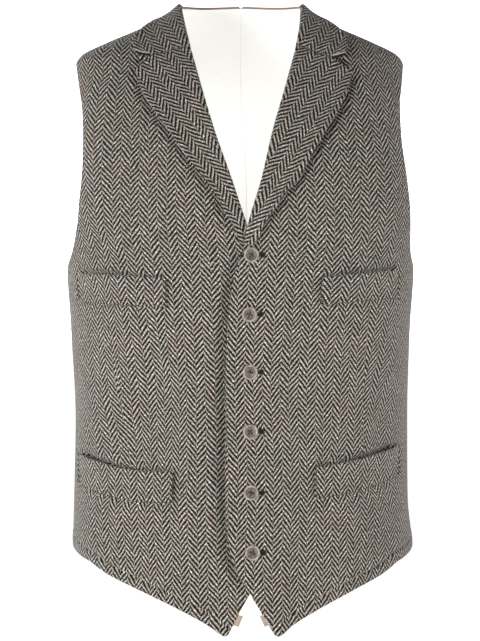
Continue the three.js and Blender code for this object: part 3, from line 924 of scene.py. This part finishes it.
def edge_curl(side, s, height):
    """How far the left front's lapped edge stands off and rolls back."""
    if side == RIGHT:
        return np.zeros_like(s)
    inside = (1 - s) * PANEL_WIDTH
    (rise, width), (fall, roll) = LAP_CURL, LAP_ROLL
    curl = rise * fade(inside, width, 0) - fall * fade(inside, roll, 0)
    return curl * fade(height, BREAK_POINT, BREAK_POINT - 24)


def add_front(side):
    s, v, seam = front_shares(side)
    angle, height = front_spot(side, s, v)
    flat, _ = body_point(angle, height, "front")
    lift = lap_lift(side, flat[..., 0], height) + front_relief(side, flat[..., 0], height)
    lift = lift + hem_relief(flat) + edge_curl(side, s, height)
    mid, towards = body_point(angle, height, "front", lift - TWEED / 2)
    step = fade(above_hem(flat), HEM_BAND + 0.8, HEM_BAND - 0.8)[..., None]
    weave = front_weave(side, angle, height) + step * HEM_SHIFT
    lined = (s[:-1, :-1] < 0.7) & (v[:-1, :-1] < 0.955)
    dart = seam, column(DARTS[side], "taken")(height[:, seam])
    grid = mid, towards, TWEED, weave, (0.4, 1.0, 1.0, 0.5)
    looks = "tweed", "lining"
    node = f"front_{SIDE_NAME[side]}"
    sheet_piece(node, (0.25, 0.66), looks, *grid, inner_faces=lined, dart=dart)


def back_inner_edge(side, v, panel):
    """Neck edge, centre seam and vent of one back half, as height and angle."""
    inset = panel["inset"]
    turn = v / BACK_NECK_ROW * math.pi / 2
    neck_height = mix(NECK_POINT, BACK_NECK, v / BACK_NECK_ROW) - inset * np.sin(turn)
    neck_angle = np.minimum(math.pi / 2 - turn, angle_deep(SEAM_GAP / 2, NECK_POINT, "back"))
    share = (v - BACK_NECK_ROW) / (1 - BACK_NECK_ROW)
    height = mix(BACK_NECK - inset, BACK_HEM + panel["short"], share)
    opening = np.clip((VENT_TOP - height) / (VENT_TOP - BACK_HEM), 0, 1)
    drift = CENTRE_DRIFT * np.clip((BACK_NECK - height) / (BACK_NECK - BACK_HEM), 0, 1)
    across = side * drift + np.maximum(panel["gap"] / 2, VENT_HALF * opening)
    angle = angle_across(across + lean_at(height), height)
    neck = v < BACK_NECK_ROW
    return np.where(neck, neck_height, height), np.where(neck, neck_angle, angle)


def back_spot(side, s, v, panel):
    """Angle and height of a place on a back half, s from the outer edge to the inner one."""
    start_height, start_deep = outer_edge("back", v, panel["inset"], SIDE_HEM + panel["short"])
    end_height, end_angle = back_inner_edge(side, v, panel)
    start_angle = angle_deep(start_deep, start_height, "back")
    shoulder_inset = panel["inset"] * (1 - np.minimum(1, v * 20))
    height = mix(start_height, end_height, s) - shoulder_inset + hem_bow(BACK_HEM_LINE, s, v)
    return side * mix(start_angle, end_angle, s), height


def back_shares(label):
    """Shares of a back half's grid, or of its lining's, finer where an edge shows."""
    if label == "back":
        across = crowded(PANEL_WIDTH, (0, PANEL_WIDTH), 0.9, 3.2)
        down = crowded(BACK_LENGTH, (0, BACK_LENGTH - HEM_BAND, BACK_LENGTH), 1.1, 4.0)
    else:
        columns, rows = LINING_GRID
        across = crowded(PANEL_WIDTH, (PANEL_WIDTH,), 0.5, PANEL_WIDTH / columns)
        down = np.linspace(0, 1, rows + 1)
    return np.meshgrid(across, down**ROW_CROWDING)


def back_edges(s, v, points):
    """Valleys along the side and centre seams, and the turned-up hem."""
    depth, width = SEAM_DIP
    centre = bump((1 - s) * SEAMED_WIDTH, width) * fade(v, BACK_NECK_ROW, BACK_NECK_ROW + 0.02)
    sides = bump(s * SEAMED_WIDTH, width) * fade(v, UNDERARM_ROW, UNDERARM_ROW + 0.02)
    return hem_relief(points) - depth * (centre + sides)


def add_back(side, label):
    panel = BACK_PANELS[label]
    s, v = back_shares(label)
    angle, height = back_spot(side, s, v, panel)
    flat, _ = body_point(angle, height, "back")
    relief = creases(BACK_CREASES[side], side * flat[..., 0], height)
    if label == "back":
        relief = relief + back_edges(s, v, flat)
    elif side == LEFT:
        relief = relief + LINING_STEP * fade(s, 0.97, 1)
    thick = panel["thick"]
    mid, towards = body_point(angle, height, "back", panel["out"] - thick / 2 + relief)
    cloth = cloth_place(angle, height, "back")
    edge = (0.15, 0.05, 0.3, 0.3)
    node = f"{label}_{SIDE_NAME[side]}"
    sheet_piece(node, (0.24, 0.69), [panel["look"]], mid, towards, thick, cloth, edge)


def roll_across(side, height):
    """Distance across of the roll edge, which is clear of the left one on the right side."""
    left = column(FRONT_EDGE, "left")(height)
    if side == LEFT:
        return left
    return np.minimum(column(FRONT_EDGE, "right")(height), left - LAP_CLEAR)


def notch_bend(s, start, notch, end):
    """How far an edge with a bend at the notch lies off a straight one."""
    before = mix(start, notch, s / GORGE_SHARE)
    after = mix(notch, end, (s - GORGE_SHARE) / (1 - GORGE_SHARE))
    return np.where(s < GORGE_SHARE, before, after) - mix(start, end, s)


def lapel_place(side, s, v):
    """Distance across and height of a place on a lapel, s from the roll edge out."""
    own = LAPELS[side]
    from_height = mix(GORGE_ROLL - SEAM_GAP, LAPEL_END, v)
    start = roll_across(side, from_height) + side * SEAM_GAP
    edge = edge_curve(LAPEL_EDGE[SIDE_NAME[side]], LAPEL_EDGE["height"])
    to_across, to_height = edge(v)
    top_across, top_height = edge(0.0)
    fall = (1 - v) ** 3
    across = notch_bend(s, roll_across(side, GORGE_ROLL), own["notch"], top_across) * fall
    height = notch_bend(s, GORGE_ROLL, own["lapel"], top_height) * fall
    return mix(start, to_across, s) + across, mix(from_height, to_height, s) + height


def roll_profile(width, rise, columns, edge_rise):
    """Distances from the roll edge and heights over the front of a lapel's columns:
    in along the inside, round the roll, then out to the edge."""
    flat_out = LAY_GAP + ON_PANEL / 2
    inside = -TWEED - ON_PANEL / 2 - ROLL_CLEAR
    radius, centre = (flat_out + rise - inside) / 2, (flat_out + rise + inside) / 2
    turn = np.linspace(-math.pi / 2, math.pi / 2, ROLL_TURNS)[None, :]
    tuck = radius + ROLL_TUCK * np.array([[1.0, 0.5]]) + 0 * width
    share = np.linspace(0, 1, columns + 1)[None, 1:]
    flat = mix(radius, np.maximum(width, radius + 1), share)
    settle = np.exp(-(((flat - radius) / ROLL_SOFT) ** 1.5))
    near_edge = fade(width - flat, EDGE_LIFT_WIDTH, 0)
    flat_height = flat_out + rise * settle + edge_rise * near_edge
    distance = np.concatenate([tuck, radius * (1 - np.cos(turn)), flat], axis=1)
    round_out = centre + radius * np.sin(turn)
    out = np.concatenate([centre - radius + 0 * tuck, round_out + 0 * width, flat_height], axis=1)
    return distance, out


def add_lapel(side):
    columns, rows = LAPEL_GRID
    v = np.linspace(0, 1, rows + 1)[:, None]
    width = np.hypot(*np.subtract(lapel_place(side, 1.0, v), lapel_place(side, 0.0, v)))
    rise = ROLL_RISE * fade(v, 0, 0.1) * fade(v, 1, 0.65)
    lift = LAPELS[side]["rise"] * mix(0.45, 1, fade(v, 0, 0.3)) * fade(v, 1, 0.88)
    distance, out = roll_profile(width, rise, columns, 0.6 + lift)
    s = distance / width
    across, height = lapel_place(side, s, np.broadcast_to(v, s.shape))
    out = out + notch_bump(NOTCH_LIFT, side, across, height, 10)
    mid, towards = front_point(side, across, height, out)
    place = cloth_place(angle_across(across, height), height, "front", side)
    weave = turned(place, LAPEL_TURN, LAPELS[side]["origin"])
    grid = mid, towards, ON_PANEL, weave, (0.35, 0.9, 0.6, 0.6)
    sheet_piece(f"lapel_{SIDE_NAME[side]}", (0.11, 0.23), ["tweed"], *grid)


def collar_place(side, s, v):
    """Angle and height of a place on a collar, s from the roll edge out."""
    own = LAPELS[side]
    corner = own["corner"]
    edge = edge_curve(
        np.append(COLLAR_EDGE["across"], corner[0]),
        np.append(COLLAR_EDGE["height"], corner[1]),
    )
    to_across, to_height = edge(v)
    from_height = mix(NECK_POINT, GORGE_ROLL + SEAM_GAP, v)
    bend = notch_bend(s, GORGE_ROLL, own["collar"], corner[1]) * v**2
    height = mix(from_height, to_height, s) + bend
    from_across = column(FRONT_EDGE, SIDE_NAME[side])(from_height)
    start = np.abs(angle_across(from_across, from_height))
    end = np.abs(angle_across(side * to_across, to_height))
    limit = angle_deep(SEAM_GAP / 2, height, "front")
    return side * np.minimum(mix(start, end, s), limit), height


def add_collar(side):
    name = SIDE_NAME[side]
    columns, rows = COLLAR_GRID
    v = np.linspace(0, 1, rows + 1)[:, None]
    start, end = (body_point(*collar_place(side, s + 0 * v, v), "front")[0] for s in (0.0, 1.0))
    width = np.linalg.norm(end - start, axis=-1)
    rise = ROLL_RISE * fade(v, -0.09, 0.21) * fade(v, 1.04, 0.84)
    distance, out = roll_profile(width, rise, columns, 0.8 + 2.6 * fade(v, 0, 0.6))
    s = distance / width
    angle, height = collar_place(side, s, np.broadcast_to(v, s.shape))
    flat, _ = body_point(angle, height, "front")
    out = out + notch_bump(NOTCH_LIFT, side, flat[..., 0], height, 10)
    mid, towards = body_point(angle, height, "front", out)
    place = cloth_place(angle, height, "front", side)
    weave = turned(place, COLLAR_TURN, LAPELS[side]["origin"])
    grid = mid, towards, ON_PANEL, weave, (0.5, 0.9, 0.35, 0.6)
    sheet_piece(f"collar_{name}", (0.08, 0.075), ["tweed"], *grid)
    low, high = NOTCH_PAINTED_LIGHT["reach"]
    at_notch = (s[-1] > low) & (s[-1] < high)
    add_notch_painted_light(name, mid[-1][at_notch], towards[-1][at_notch])


def add_notch_painted_light(name, line, towards):
    """A pale tube along a collar's lower edge, painted as the highlight the edge catches, and a
    dark tube under it, painted as the shade below the edge.
    """
    highlight_tube = line + towards * ON_PANEL * 0.45
    fold = line - towards * 0.5 - [0, 0, NOTCH_PAINTED_LIGHT["drop"]]
    parts = (*tube(highlight_tube, NOTCH_PAINTED_LIGHT["radius"]), 0), (*tube(fold, NOTCH_PAINTED_LIGHT["fold"]), 1)
    # the pale tube is painted highlight, the dark one painted shade
    add_sewing(f"collar_{name}_edge", parts, "painted_highlight", "gap")


def add_welt(name, welt):
    columns, rows = WELT_GRID
    s, v = np.meshgrid(np.linspace(0, 1, columns + 1), np.linspace(0, 1, rows + 1))
    side = welt["side"]
    outward = mix(welt["inner"], welt["outer"], s)
    height = welt_top(welt, outward)[0] - welt["deep"] * v
    stand = welt["gape"] * mix(1.4, 2.5, s) * fade(v, 0.6, 0) * fade(s, 0, 0.1) * fade(s, 1, 0.9)
    out = LAY_GAP * mix(1, 0.4, fade(v, 0, 1)) + ON_PANEL / 2 + stand
    mid, towards = front_point(side, side * outward, height, out)
    like = WELT_GRAIN if name.startswith("hip") else None
    weave = front_weave(side, angle_across(side * outward, height), height, like)
    grid = mid, towards, ON_PANEL, weave, (0.9, 0.5, 0.5, 0.5)
    sheet_piece(name, (0.12, 0.04), ["tweed"], *grid)


class Graph:
    """The nodes of a material or the world, added and joined in one call each."""

    def __init__(self, owner):
        owner.use_nodes = True
        self.tree = owner.node_tree

    def put(self, socket, value):
        if isinstance(value, bpy.types.NodeSocket):
            self.tree.links.new(value, socket)
        else:
            socket.default_value = value

    def add(self, kind, inputs=None, **settings):
        node = self.tree.nodes.new(f"ShaderNode{kind}")
        for key, value in settings.items():
            setattr(node, key, value)
        for key, value in (inputs or {}).items():
            self.put(node.inputs[key], value)
        return node

    def math(self, operation, *values):
        return self.add("Math", dict(enumerate(values)), operation=operation).outputs[0]

    def vector(self, operation, *values, output=0):
        node = self.add("VectorMath", dict(enumerate(values)), operation=operation)
        return node.outputs[output]

    def scaled(self, vector, scale):
        return self.add("VectorMath", {0: vector, "Scale": scale}, operation="SCALE").outputs[0]

    def noise(self, place, scale, detail=2.0, roughness=0.5, output="Fac"):
        inputs = {"Vector": place, "Scale": scale, "Detail": detail, "Roughness": roughness}
        return self.add("TexNoise", inputs).outputs[output]

    def ramp(self, value, low, high, to_low=0.0, to_high=1.0):
        keys = "Value", "From Min", "From Max", "To Min", "To Max"
        inputs = dict(zip(keys, (value, low, high, to_low, to_high)))
        return self.add("MapRange", inputs, interpolation_type="SMOOTHSTEP").outputs[0]

    def mixed(self, share, a, b):
        """A colour between two, each a socket or a screen colour."""
        a, b = (srgb(*c) if isinstance(c, tuple) else c for c in (a, b))
        node = self.add("Mix", data_type="RGBA")
        for name, value in (("Factor", share), ("A", a), ("B", b)):
            self.put(next(s for s in node.inputs if s.enabled and s.name == name), value)
        return next(s for s in node.outputs if s.enabled)

    def surface(self, **values):
        for name, value in values.items():
            self.put(self.tree.nodes["Principled BSDF"].inputs[name.replace("_", " ")], value)

    def relief(self, height, distance, strength=1.0):
        inputs = {"Height": height, "Distance": distance, "Strength": strength}
        self.surface(Normal=self.add("Bump", inputs).outputs[0])


def look(name):
    """A new material's graph."""
    MATERIALS[name] = bpy.data.materials.new(f"{name}_look")
    return Graph(MATERIALS[name])


def srgb(red, green, blue):
    """A colour given as it looks on screen, 0 to 255, as the light it stands for."""
    parts = [c / 255 for c in (red, green, blue)]
    return (*(c / 12.92 if c < 0.04045 else ((c + 0.055) / 1.055) ** 2.4 for c in parts), 1.0)


def tweed_lines(g, place):
    """Where the light lines lie: slanting in columns that lean left and right by turns."""
    moved = place
    for reach, kind in ((3.0, (0.05, 1.0)), (1.5, (0.55, 3.0, 0.6))):
        drift = g.vector("SUBTRACT", g.noise(place, *kind, output="Color"), (0.5, 0.5, 0.5))
        moved = g.vector("ADD", moved, g.scaled(drift, reach))
    across, up, _ = g.add("SeparateXYZ", {0: moved}).outputs
    zig = g.math("DIVIDE", g.math("PINGPONG", across, COLUMN_WIDTH), COLUMN_WIDTH / LINE_RISE)
    number = g.math("FLOOR", g.math("DIVIDE", across, COLUMN_WIDTH))
    phase = g.math("ADD", g.math("DIVIDE", up, LINE_PITCH), zig)
    phase = g.math("SUBTRACT", phase, g.math("MULTIPLY", number, LINE_BREAK))
    line = g.math("SINE", g.math("MULTIPLY", phase, 2 * math.pi))
    for uneven, kind in ((YARN_UNEVEN, (1.0, 3.0, 0.65)), (TUFT_UNEVEN, (0.35, 2.0))):
        ragged = g.math("SUBTRACT", g.noise(place, *kind), 0.5)
        line = g.math("ADD", line, g.math("MULTIPLY", ragged, uneven))
    return g.ramp(g.math("SUBTRACT", line, LINE_BALANCE), -LINE_BLUR, LINE_BLUR)


def tweed_material():
    """Herringbone in hairy, flecked yarn."""
    g = look("tweed")
    place = g.add("UVMap", uv_map="Cloth").outputs[0]
    line = tweed_lines(g, place)
    tint = g.noise(place, 0.045)
    warm, cool = g.ramp(tint, 0.42, 0.66), g.ramp(tint, 0.5, 0.32)
    light, dark = (
        g.mixed(cool, g.mixed(warm, plain, warmer), cooler)
        for plain, warmer, cooler in (LIGHT_YARN, DARK_YARN)
    )
    fleck = g.ramp(g.noise(place, 0.5, 1.0), 0.62, 0.72)
    light = g.mixed(g.math("MULTIPLY", fleck, 0.75), light, FLECK)
    shade = g.ramp(g.noise(place, 0.5, 4.0, 0.75), 0.3, 0.7, *YARN_SHADE)
    g.surface(Base_Color=g.scaled(g.mixed(line, dark, light), shade), Roughness=0.93)
    g.surface(Sheen_Weight=0.3, Sheen_Roughness=0.45, Specular_IOR_Level=0.12)
    fibre = g.math("MULTIPLY", g.noise(place, 2.4, 3.0, 0.7), 0.6)
    g.relief(g.math("ADD", g.math("MULTIPLY", line, 0.6), fibre), 0.45 * MM)


def satin_material(name, colour, other, roughness):
    """Smooth lining cloth with a faint upright grain."""
    g = look(name)
    place = g.add("UVMap", uv_map="Cloth").outputs[0]
    warp = g.noise(g.vector("MULTIPLY", place, (1.6, 0.12, 1.0)), 1.0, 3.0, 0.6)
    weft = g.noise(g.vector("MULTIPLY", place, (0.1, 1.4, 1.0)), 1.0, 2.0, 0.6)
    threads = g.math("MULTIPLY", g.math("ADD", warp, weft), 0.5)
    g.surface(Base_Color=g.mixed(g.ramp(threads, 0.35, 0.65), colour, other))
    g.surface(Roughness=g.ramp(threads, 0.3, 0.7, roughness - 0.04, roughness + 0.05))
    g.surface(Sheen_Weight=0.2, Sheen_Roughness=0.35, Specular_IOR_Level=0.45)
    g.relief(threads, 0.12 * MM, 0.6)


def horn_material(name, dark, light):
    g = look(name)
    swirl = g.noise(g.add("TexCoord").outputs["Object"], 210.0, 4.0, 0.65)
    g.surface(Base_Color=g.mixed(g.ramp(swirl, 0.3, 0.75), dark, light), Roughness=0.3)
    g.relief(swirl, 0.05 * MM, 0.3)


def thread_material(name, dark, light, scale=1400.0, roughness=0.8, depth=0.2):
    g = look(name)
    twist = g.noise(g.add("TexCoord").outputs["Object"], scale)
    g.surface(Base_Color=g.mixed(twist, dark, light), Roughness=roughness)
    g.relief(twist, depth * MM)


def make_materials():
    tweed_material()
    # painted shade, for the floors of buttonhole slots and under each notch
    thread_material("gap", *PAINTED_SHADE_COLOURS, 900.0, 0.95, 0.1)
    satin_material("satin", *SATIN_COLOURS, 0.36)
    satin_material("lining", *LINING_COLOURS, 0.6)
    horn_material("horn", *HORN)
    # darker copy of the horn, painted shade of a button's dish
    horn_material("horn_painted_shade", *HORN_PAINTED_SHADE)
    thread_material("thread", *THREAD_COLOURS)
    # painted highlight for the collar's lower edge at each notch
    thread_material("painted_highlight", *PAINTED_HIGHLIGHT_COLOURS)


def paint(piece, slot, *others):
    """Gives a piece its materials, in the order given."""
    for name in (slot, *others):
        piece.data.materials.append(MATERIALS[name])


def joined(name, parts):
    """One piece out of several (points, faces, material index) parts."""
    points, faces, slots, start = [], [], [], 0
    for part_points, part_faces, slot in parts:
        points.append(np.asarray(part_points, float))
        faces += [[i + start for i in face] for face in part_faces]
        slots += [slot] * len(part_faces)
        start += len(part_points)
    piece = make_mesh(name, np.vstack(points), faces, slots, {})
    shape = bmesh.new()
    shape.from_mesh(piece.data)
    bmesh.ops.recalc_face_normals(shape, faces=shape.faces)
    shape.to_mesh(piece.data)
    shape.free()
    return piece


def lathe(name, outline, sides):
    """A closed turned mesh from (radius, height) pairs that start and end on the axis."""
    points, faces, rings = [], [], []
    for radius, height in outline:
        turns = np.linspace(0, 2 * math.pi, sides, endpoint=False)[: None if radius else 1]
        rings.append(range(len(points), len(points) + len(turns)))
        points += [(radius * math.cos(t), radius * math.sin(t), height) for t in turns]
    for low, high in zip(rings, rings[1:]):
        for i in range(sides):
            corners = (low, i), (low, i + 1), (high, i + 1), (high, i)
            faces.append(list(dict.fromkeys(ring[j % len(ring)] for ring, j in corners)))
    return joined(name, [(points, faces, 0)])


def button_mesh():
    """A four-hole button, its dished face in the second material: a darker copy of the horn,
    painted as shade in the dish.
    """
    button = lathe("button", BUTTON_OUTLINE, 64)
    for x, y in ((-1, -1), (-1, 1), (1, -1), (1, 1)):
        hole = lathe("hole", HOLE_OUTLINE, 20)
        hole.location = (x * HOLE_OUT * MM, y * HOLE_OUT * MM, 0)
        cut = button.modifiers.new("hole", "BOOLEAN")
        cut.operation, cut.solver, cut.object = "DIFFERENCE", "EXACT", hole
    bpy.context.view_layer.update()
    evaluated = button.evaluated_get(bpy.context.evaluated_depsgraph_get())
    mesh = bpy.data.meshes.new_from_object(evaluated)
    for thing in [*(cut.object for cut in button.modifiers), button]:
        bpy.data.objects.remove(thing)
    for polygon in mesh.polygons:
        x, y, z = polygon.center / MM
        # the dished face takes the darker horn, painted shade of the dish
        polygon.material_index = int(math.hypot(x, y) < BUTTON_DISH and z > 0.3)
    return mesh


def button_seats():
    """Number, distance across, height and placing matrix of each button."""
    for i, (across, height, turn) in enumerate(zip(*BUTTONS.values())):
        seat, away = front_point(LEFT, across, height, LAY_GAP)
        face = Vector(away).to_track_quat("Z", "Y").to_matrix().to_4x4()
        spin = Matrix.Rotation(math.radians(turn), 4, "Z")
        yield i + 1, across, height, Matrix.Translation(Vector(seat) * MM) @ face @ spin


def add_buttons():
    mesh = button_mesh()
    for number, _, _, seat in button_seats():
        own = mesh.copy()
        own.name = f"button_{number}_horn"
        own.transform(seat)
        own.shade_smooth()
        piece = add_object(own.name, own)
        paint(piece, "horn", "horn_painted_shade")
        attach(piece, "root")
        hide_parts(f"button_{number}")


def tube(line, radius, sides=8, closed=False):
    """Points and faces of a thread along a line, its ends closed."""
    line = np.asarray(line, float)
    ahead = np.roll(line, -1, axis=0) - np.roll(line, 1, axis=0)
    tangent = unit(ahead if closed else np.gradient(line, axis=0))
    helper = np.where(np.abs(tangent[:, 1:2]) < 0.9, [[0.0, 1.0, 0.0]], [[1.0, 0.0, 0.0]])
    across = unit(np.cross(tangent, helper))
    up = np.cross(across, tangent)
    turn = np.linspace(0, 2 * math.pi, sides, endpoint=False)[None, :, None]
    ring = np.cos(turn) * across[:, None] + np.sin(turn) * up[:, None]
    size = np.broadcast_to(radius, (len(line),))[:, None, None]
    points = (line[:, None] + ring * size).reshape(-1, 3)
    index = np.arange(len(points)).reshape(-1, sides)
    low, high = (index, np.roll(index, -1, 0)) if closed else (index[:-1], index[1:])
    quads = stack(low, np.roll(low, -1, 1), np.roll(high, -1, 1), high).reshape(-1, 4)
    ends = [] if closed else [index[0, ::-1].tolist(), index[-1].tolist()]
    return points, quads.tolist() + ends


def add_sewing(name, parts, *looks):
    """A piece of thread or the like, sewn to the cloth."""
    piece = joined(name, parts)
    for label in looks:
        piece.data.materials.append(MATERIALS[label])
    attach(piece, "root")
    return piece


def slot_outline(grow):
    """Keyhole outline as (across, up) round its middle line, made larger by some distance."""
    half, radius = SLOT["half"] + grow, SLOT["eye_radius"] + grow
    meet = math.asin(half / radius)
    end = np.linspace(0, math.pi, 7)
    eye = np.linspace(math.pi + meet, 3 * math.pi - meet, 20)
    along = np.linspace(SLOT["start"], SLOT["eye"] - radius * math.cos(meet), 22)[1:-1]
    parts = (
        (SLOT["start"] - half * np.sin(end), half * np.cos(end)),
        (along, -half + 0 * along),
        (SLOT["eye"] + radius * np.cos(eye), radius * np.sin(eye)),
        (along[::-1], half + 0 * along),
    )
    return np.vstack([stack(*part) for part in parts])


def add_buttonhole(number, across, height):
    """A worked keyhole buttonhole: thread wound round a slot whose floor is a dark sheet, painted
    as the shade inside the slot.
    """
    outline, inner = slot_outline(THREAD * 0.6), slot_outline(0.1)
    wound = 1 + 0.12 * np.sin(np.arange(len(outline)) * 2.2)
    rim, _ = front_point(LEFT, across + outline[:, 0], height + outline[:, 1], 0.25)
    # the slot's floor is a dark sheet painted as the shade inside the slot
    floor, _ = front_point(LEFT, across + inner[:, 0], height + inner[:, 1], 0.18)
    top = np.arange(len(floor))
    under = top + len(floor)
    sides = stack(top, np.roll(top, -1), np.roll(under, -1), under).tolist()
    faces = [top.tolist(), under[::-1].tolist(), *sides]
    up = np.linspace(-2.3, 2.3, 7)
    bar, _ = front_point(LEFT, across + SLOT["start"] - 0.6, height + up, 0.3)
    parts = [
        (*tube(rim, THREAD * wound, closed=True), 0),
        (np.vstack([floor, floor + [0, 0.3, 0]]), faces, 1),
        (*tube(bar, BAR_TACK), 0),
    ]
    add_sewing(f"buttonhole_{number}", parts, "thread", "gap")


def button_thread():
    """Two crossed stitches through the holes, and the shank of thread below."""
    share = np.linspace(-1, 1, 9)
    reach = HOLE_OUT * math.sqrt(2) * share
    rise = BUTTON_FACE + 0.55 - 0.9 * np.abs(share) ** 4
    lines = [
        stack(reach * math.cos(angle), reach * math.sin(angle), rise)
        for angle in (math.pi / 4, math.pi * 3 / 4)
    ]
    parts = [(*tube(line, BUTTON_THREAD), 0) for line in lines]
    return [*parts, (*tube([(0, 0, -0.9), (0, 0, 0.1)], 1.5, 12), 0)]


def add_fastenings():
    for number, across, height, seat in button_seats():
        add_buttonhole(number, across, height)
        piece = add_sewing(f"button_thread_{number}", button_thread(), "thread")
        piece.data.transform(seat)


def stitch(side, start, end, kind):
    """One stitch from place to place on a front, its ends pulled into the cloth."""
    share = np.linspace(0, 1, 5)
    dip = np.array([-0.5, 0.05, 0.15, 0.05, -0.5])
    outward, height = (mix(*ends, share) for ends in zip(start, end))
    out = LAY_GAP + ON_PANEL * kind["out"] + dip
    line, _ = front_point(side, side * outward, height, out)
    return (*tube(line, kind["radius"], 6), 0)


def welt_stitches(welt):
    """Slanting stitches down the ends of a welt, and small ones along its foot."""
    parts, side = [], welt["side"]
    kind = END_STITCH
    for end, lean in (("inner", 1), ("outer", -1)):
        outward = welt[end] + lean * kind["inset"]
        for k in range(int(welt["deep"] / kind["step"])):
            height = welt_top(welt, outward)[0] - 1.5 - k * kind["step"]
            start = outward - lean * 0.35 * kind["long"], height
            foot = outward + lean * 0.45 * kind["long"], height - 0.75 * kind["long"]
            parts.append(stitch(side, start, foot, kind))
    kind = PICK_STITCH
    for k in range(int((welt["outer"] - welt["inner"]) / kind["step"]) - 1):
        first = welt["inner"] + 2 + k * kind["step"]
        places = [
            (outward, welt_top(welt, outward)[0] - welt["deep"] + kind["inset"])
            for outward in (first, first + kind["long"])
        ]
        parts.append(stitch(side, *places, kind))
    return parts


def add_camera():
    data = bpy.data.cameras.new("camera")
    data.lens, data.sensor_width = CAMERA_LENS, 36
    camera = add_object("camera", data)
    camera.location = CAMERA_PLACE
    camera.rotation_euler = (math.pi / 2, 0, 0)
    bpy.context.scene.camera = camera


def add_stage_plane(name, corners, **values):
    """A plane that is stage, not part of the object."""
    mesh = bpy.data.meshes.new(name)
    mesh.from_pydata(corners, [], [(0, 1, 2, 3)])
    plane = add_object(name, mesh)
    look(name).surface(**values)
    mesh.materials.append(MATERIALS[name])
    return plane


def add_light(name, light):
    data = bpy.data.lights.new(name, "AREA")
    data.shape, data.size, data.energy = "DISK", light["size"], light["power"]
    lamp = add_object(name, data)
    lamp.location = light["place"]
    aim = Vector(light["aim_at"]) - lamp.location
    lamp.rotation_euler = aim.to_track_quat("-Z", "Y").to_euler()
    return lamp


def add_world():
    """A studio that is bright on the camera's side and dark high above."""
    world = bpy.context.scene.world = bpy.data.worlds.new("studio")
    g = Graph(world)
    place = g.add("TexCoord").outputs["Generated"]
    dim, bright = (
        g.ramp(g.vector("DOT_PRODUCT", place, towards, output="Value"), *levels)
        for towards, levels in ((DARK_SIDE, DARK_LIGHT), (STUDIO_FRONT, STUDIO_LIGHT))
    )
    background = g.tree.nodes["Background"]
    background.inputs["Color"].default_value = (1, 1, 1, 1)
    g.put(background.inputs["Strength"], g.math("MULTIPLY", dim, bright))


def set_stage():
    add_camera()
    x = FLOOR_REACH
    corners = [(u, v, FLOOR_HEIGHT) for u, v in ((-x, -x), (x, -x), (x, x), (-x, x))]
    glow = {"Emission_Color": (1, 1, 1, 1), "Emission_Strength": FLOOR_GLOW}
    add_stage_plane("floor", corners, Base_Color=(0.9, 0.9, 0.9, 1), Roughness=0.9, **glow)
    add_world()
    add_light("key", KEY_LIGHT)
    card = add_stage_plane("card", CARD, Base_Color=(0.01, 0.01, 0.01, 1), Roughness=0.95)
    inside = add_light("inside", INSIDE_LIGHT)
    card.visible_camera = inside.visible_camera = False
    bpy.context.scene.view_settings.view_transform = "Standard"


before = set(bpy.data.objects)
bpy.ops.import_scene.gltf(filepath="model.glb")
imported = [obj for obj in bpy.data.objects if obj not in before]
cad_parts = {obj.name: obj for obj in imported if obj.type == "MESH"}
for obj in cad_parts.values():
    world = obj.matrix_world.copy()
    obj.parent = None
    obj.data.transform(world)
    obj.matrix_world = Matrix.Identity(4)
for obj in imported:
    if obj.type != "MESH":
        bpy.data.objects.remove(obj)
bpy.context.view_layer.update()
set_stage()
make_materials()
for side in (RIGHT, LEFT):
    add_front(side)
    add_lapel(side)
    add_collar(side)
    add_back(side, "back")
    add_back(side, "back_lining")
for name, welt in WELTS.items():
    add_welt(name, welt)
add_buttons()
add_fastenings()
for name, welt in WELTS.items():
    add_sewing(f"{name}_stitches", welt_stitches(welt), "thread")
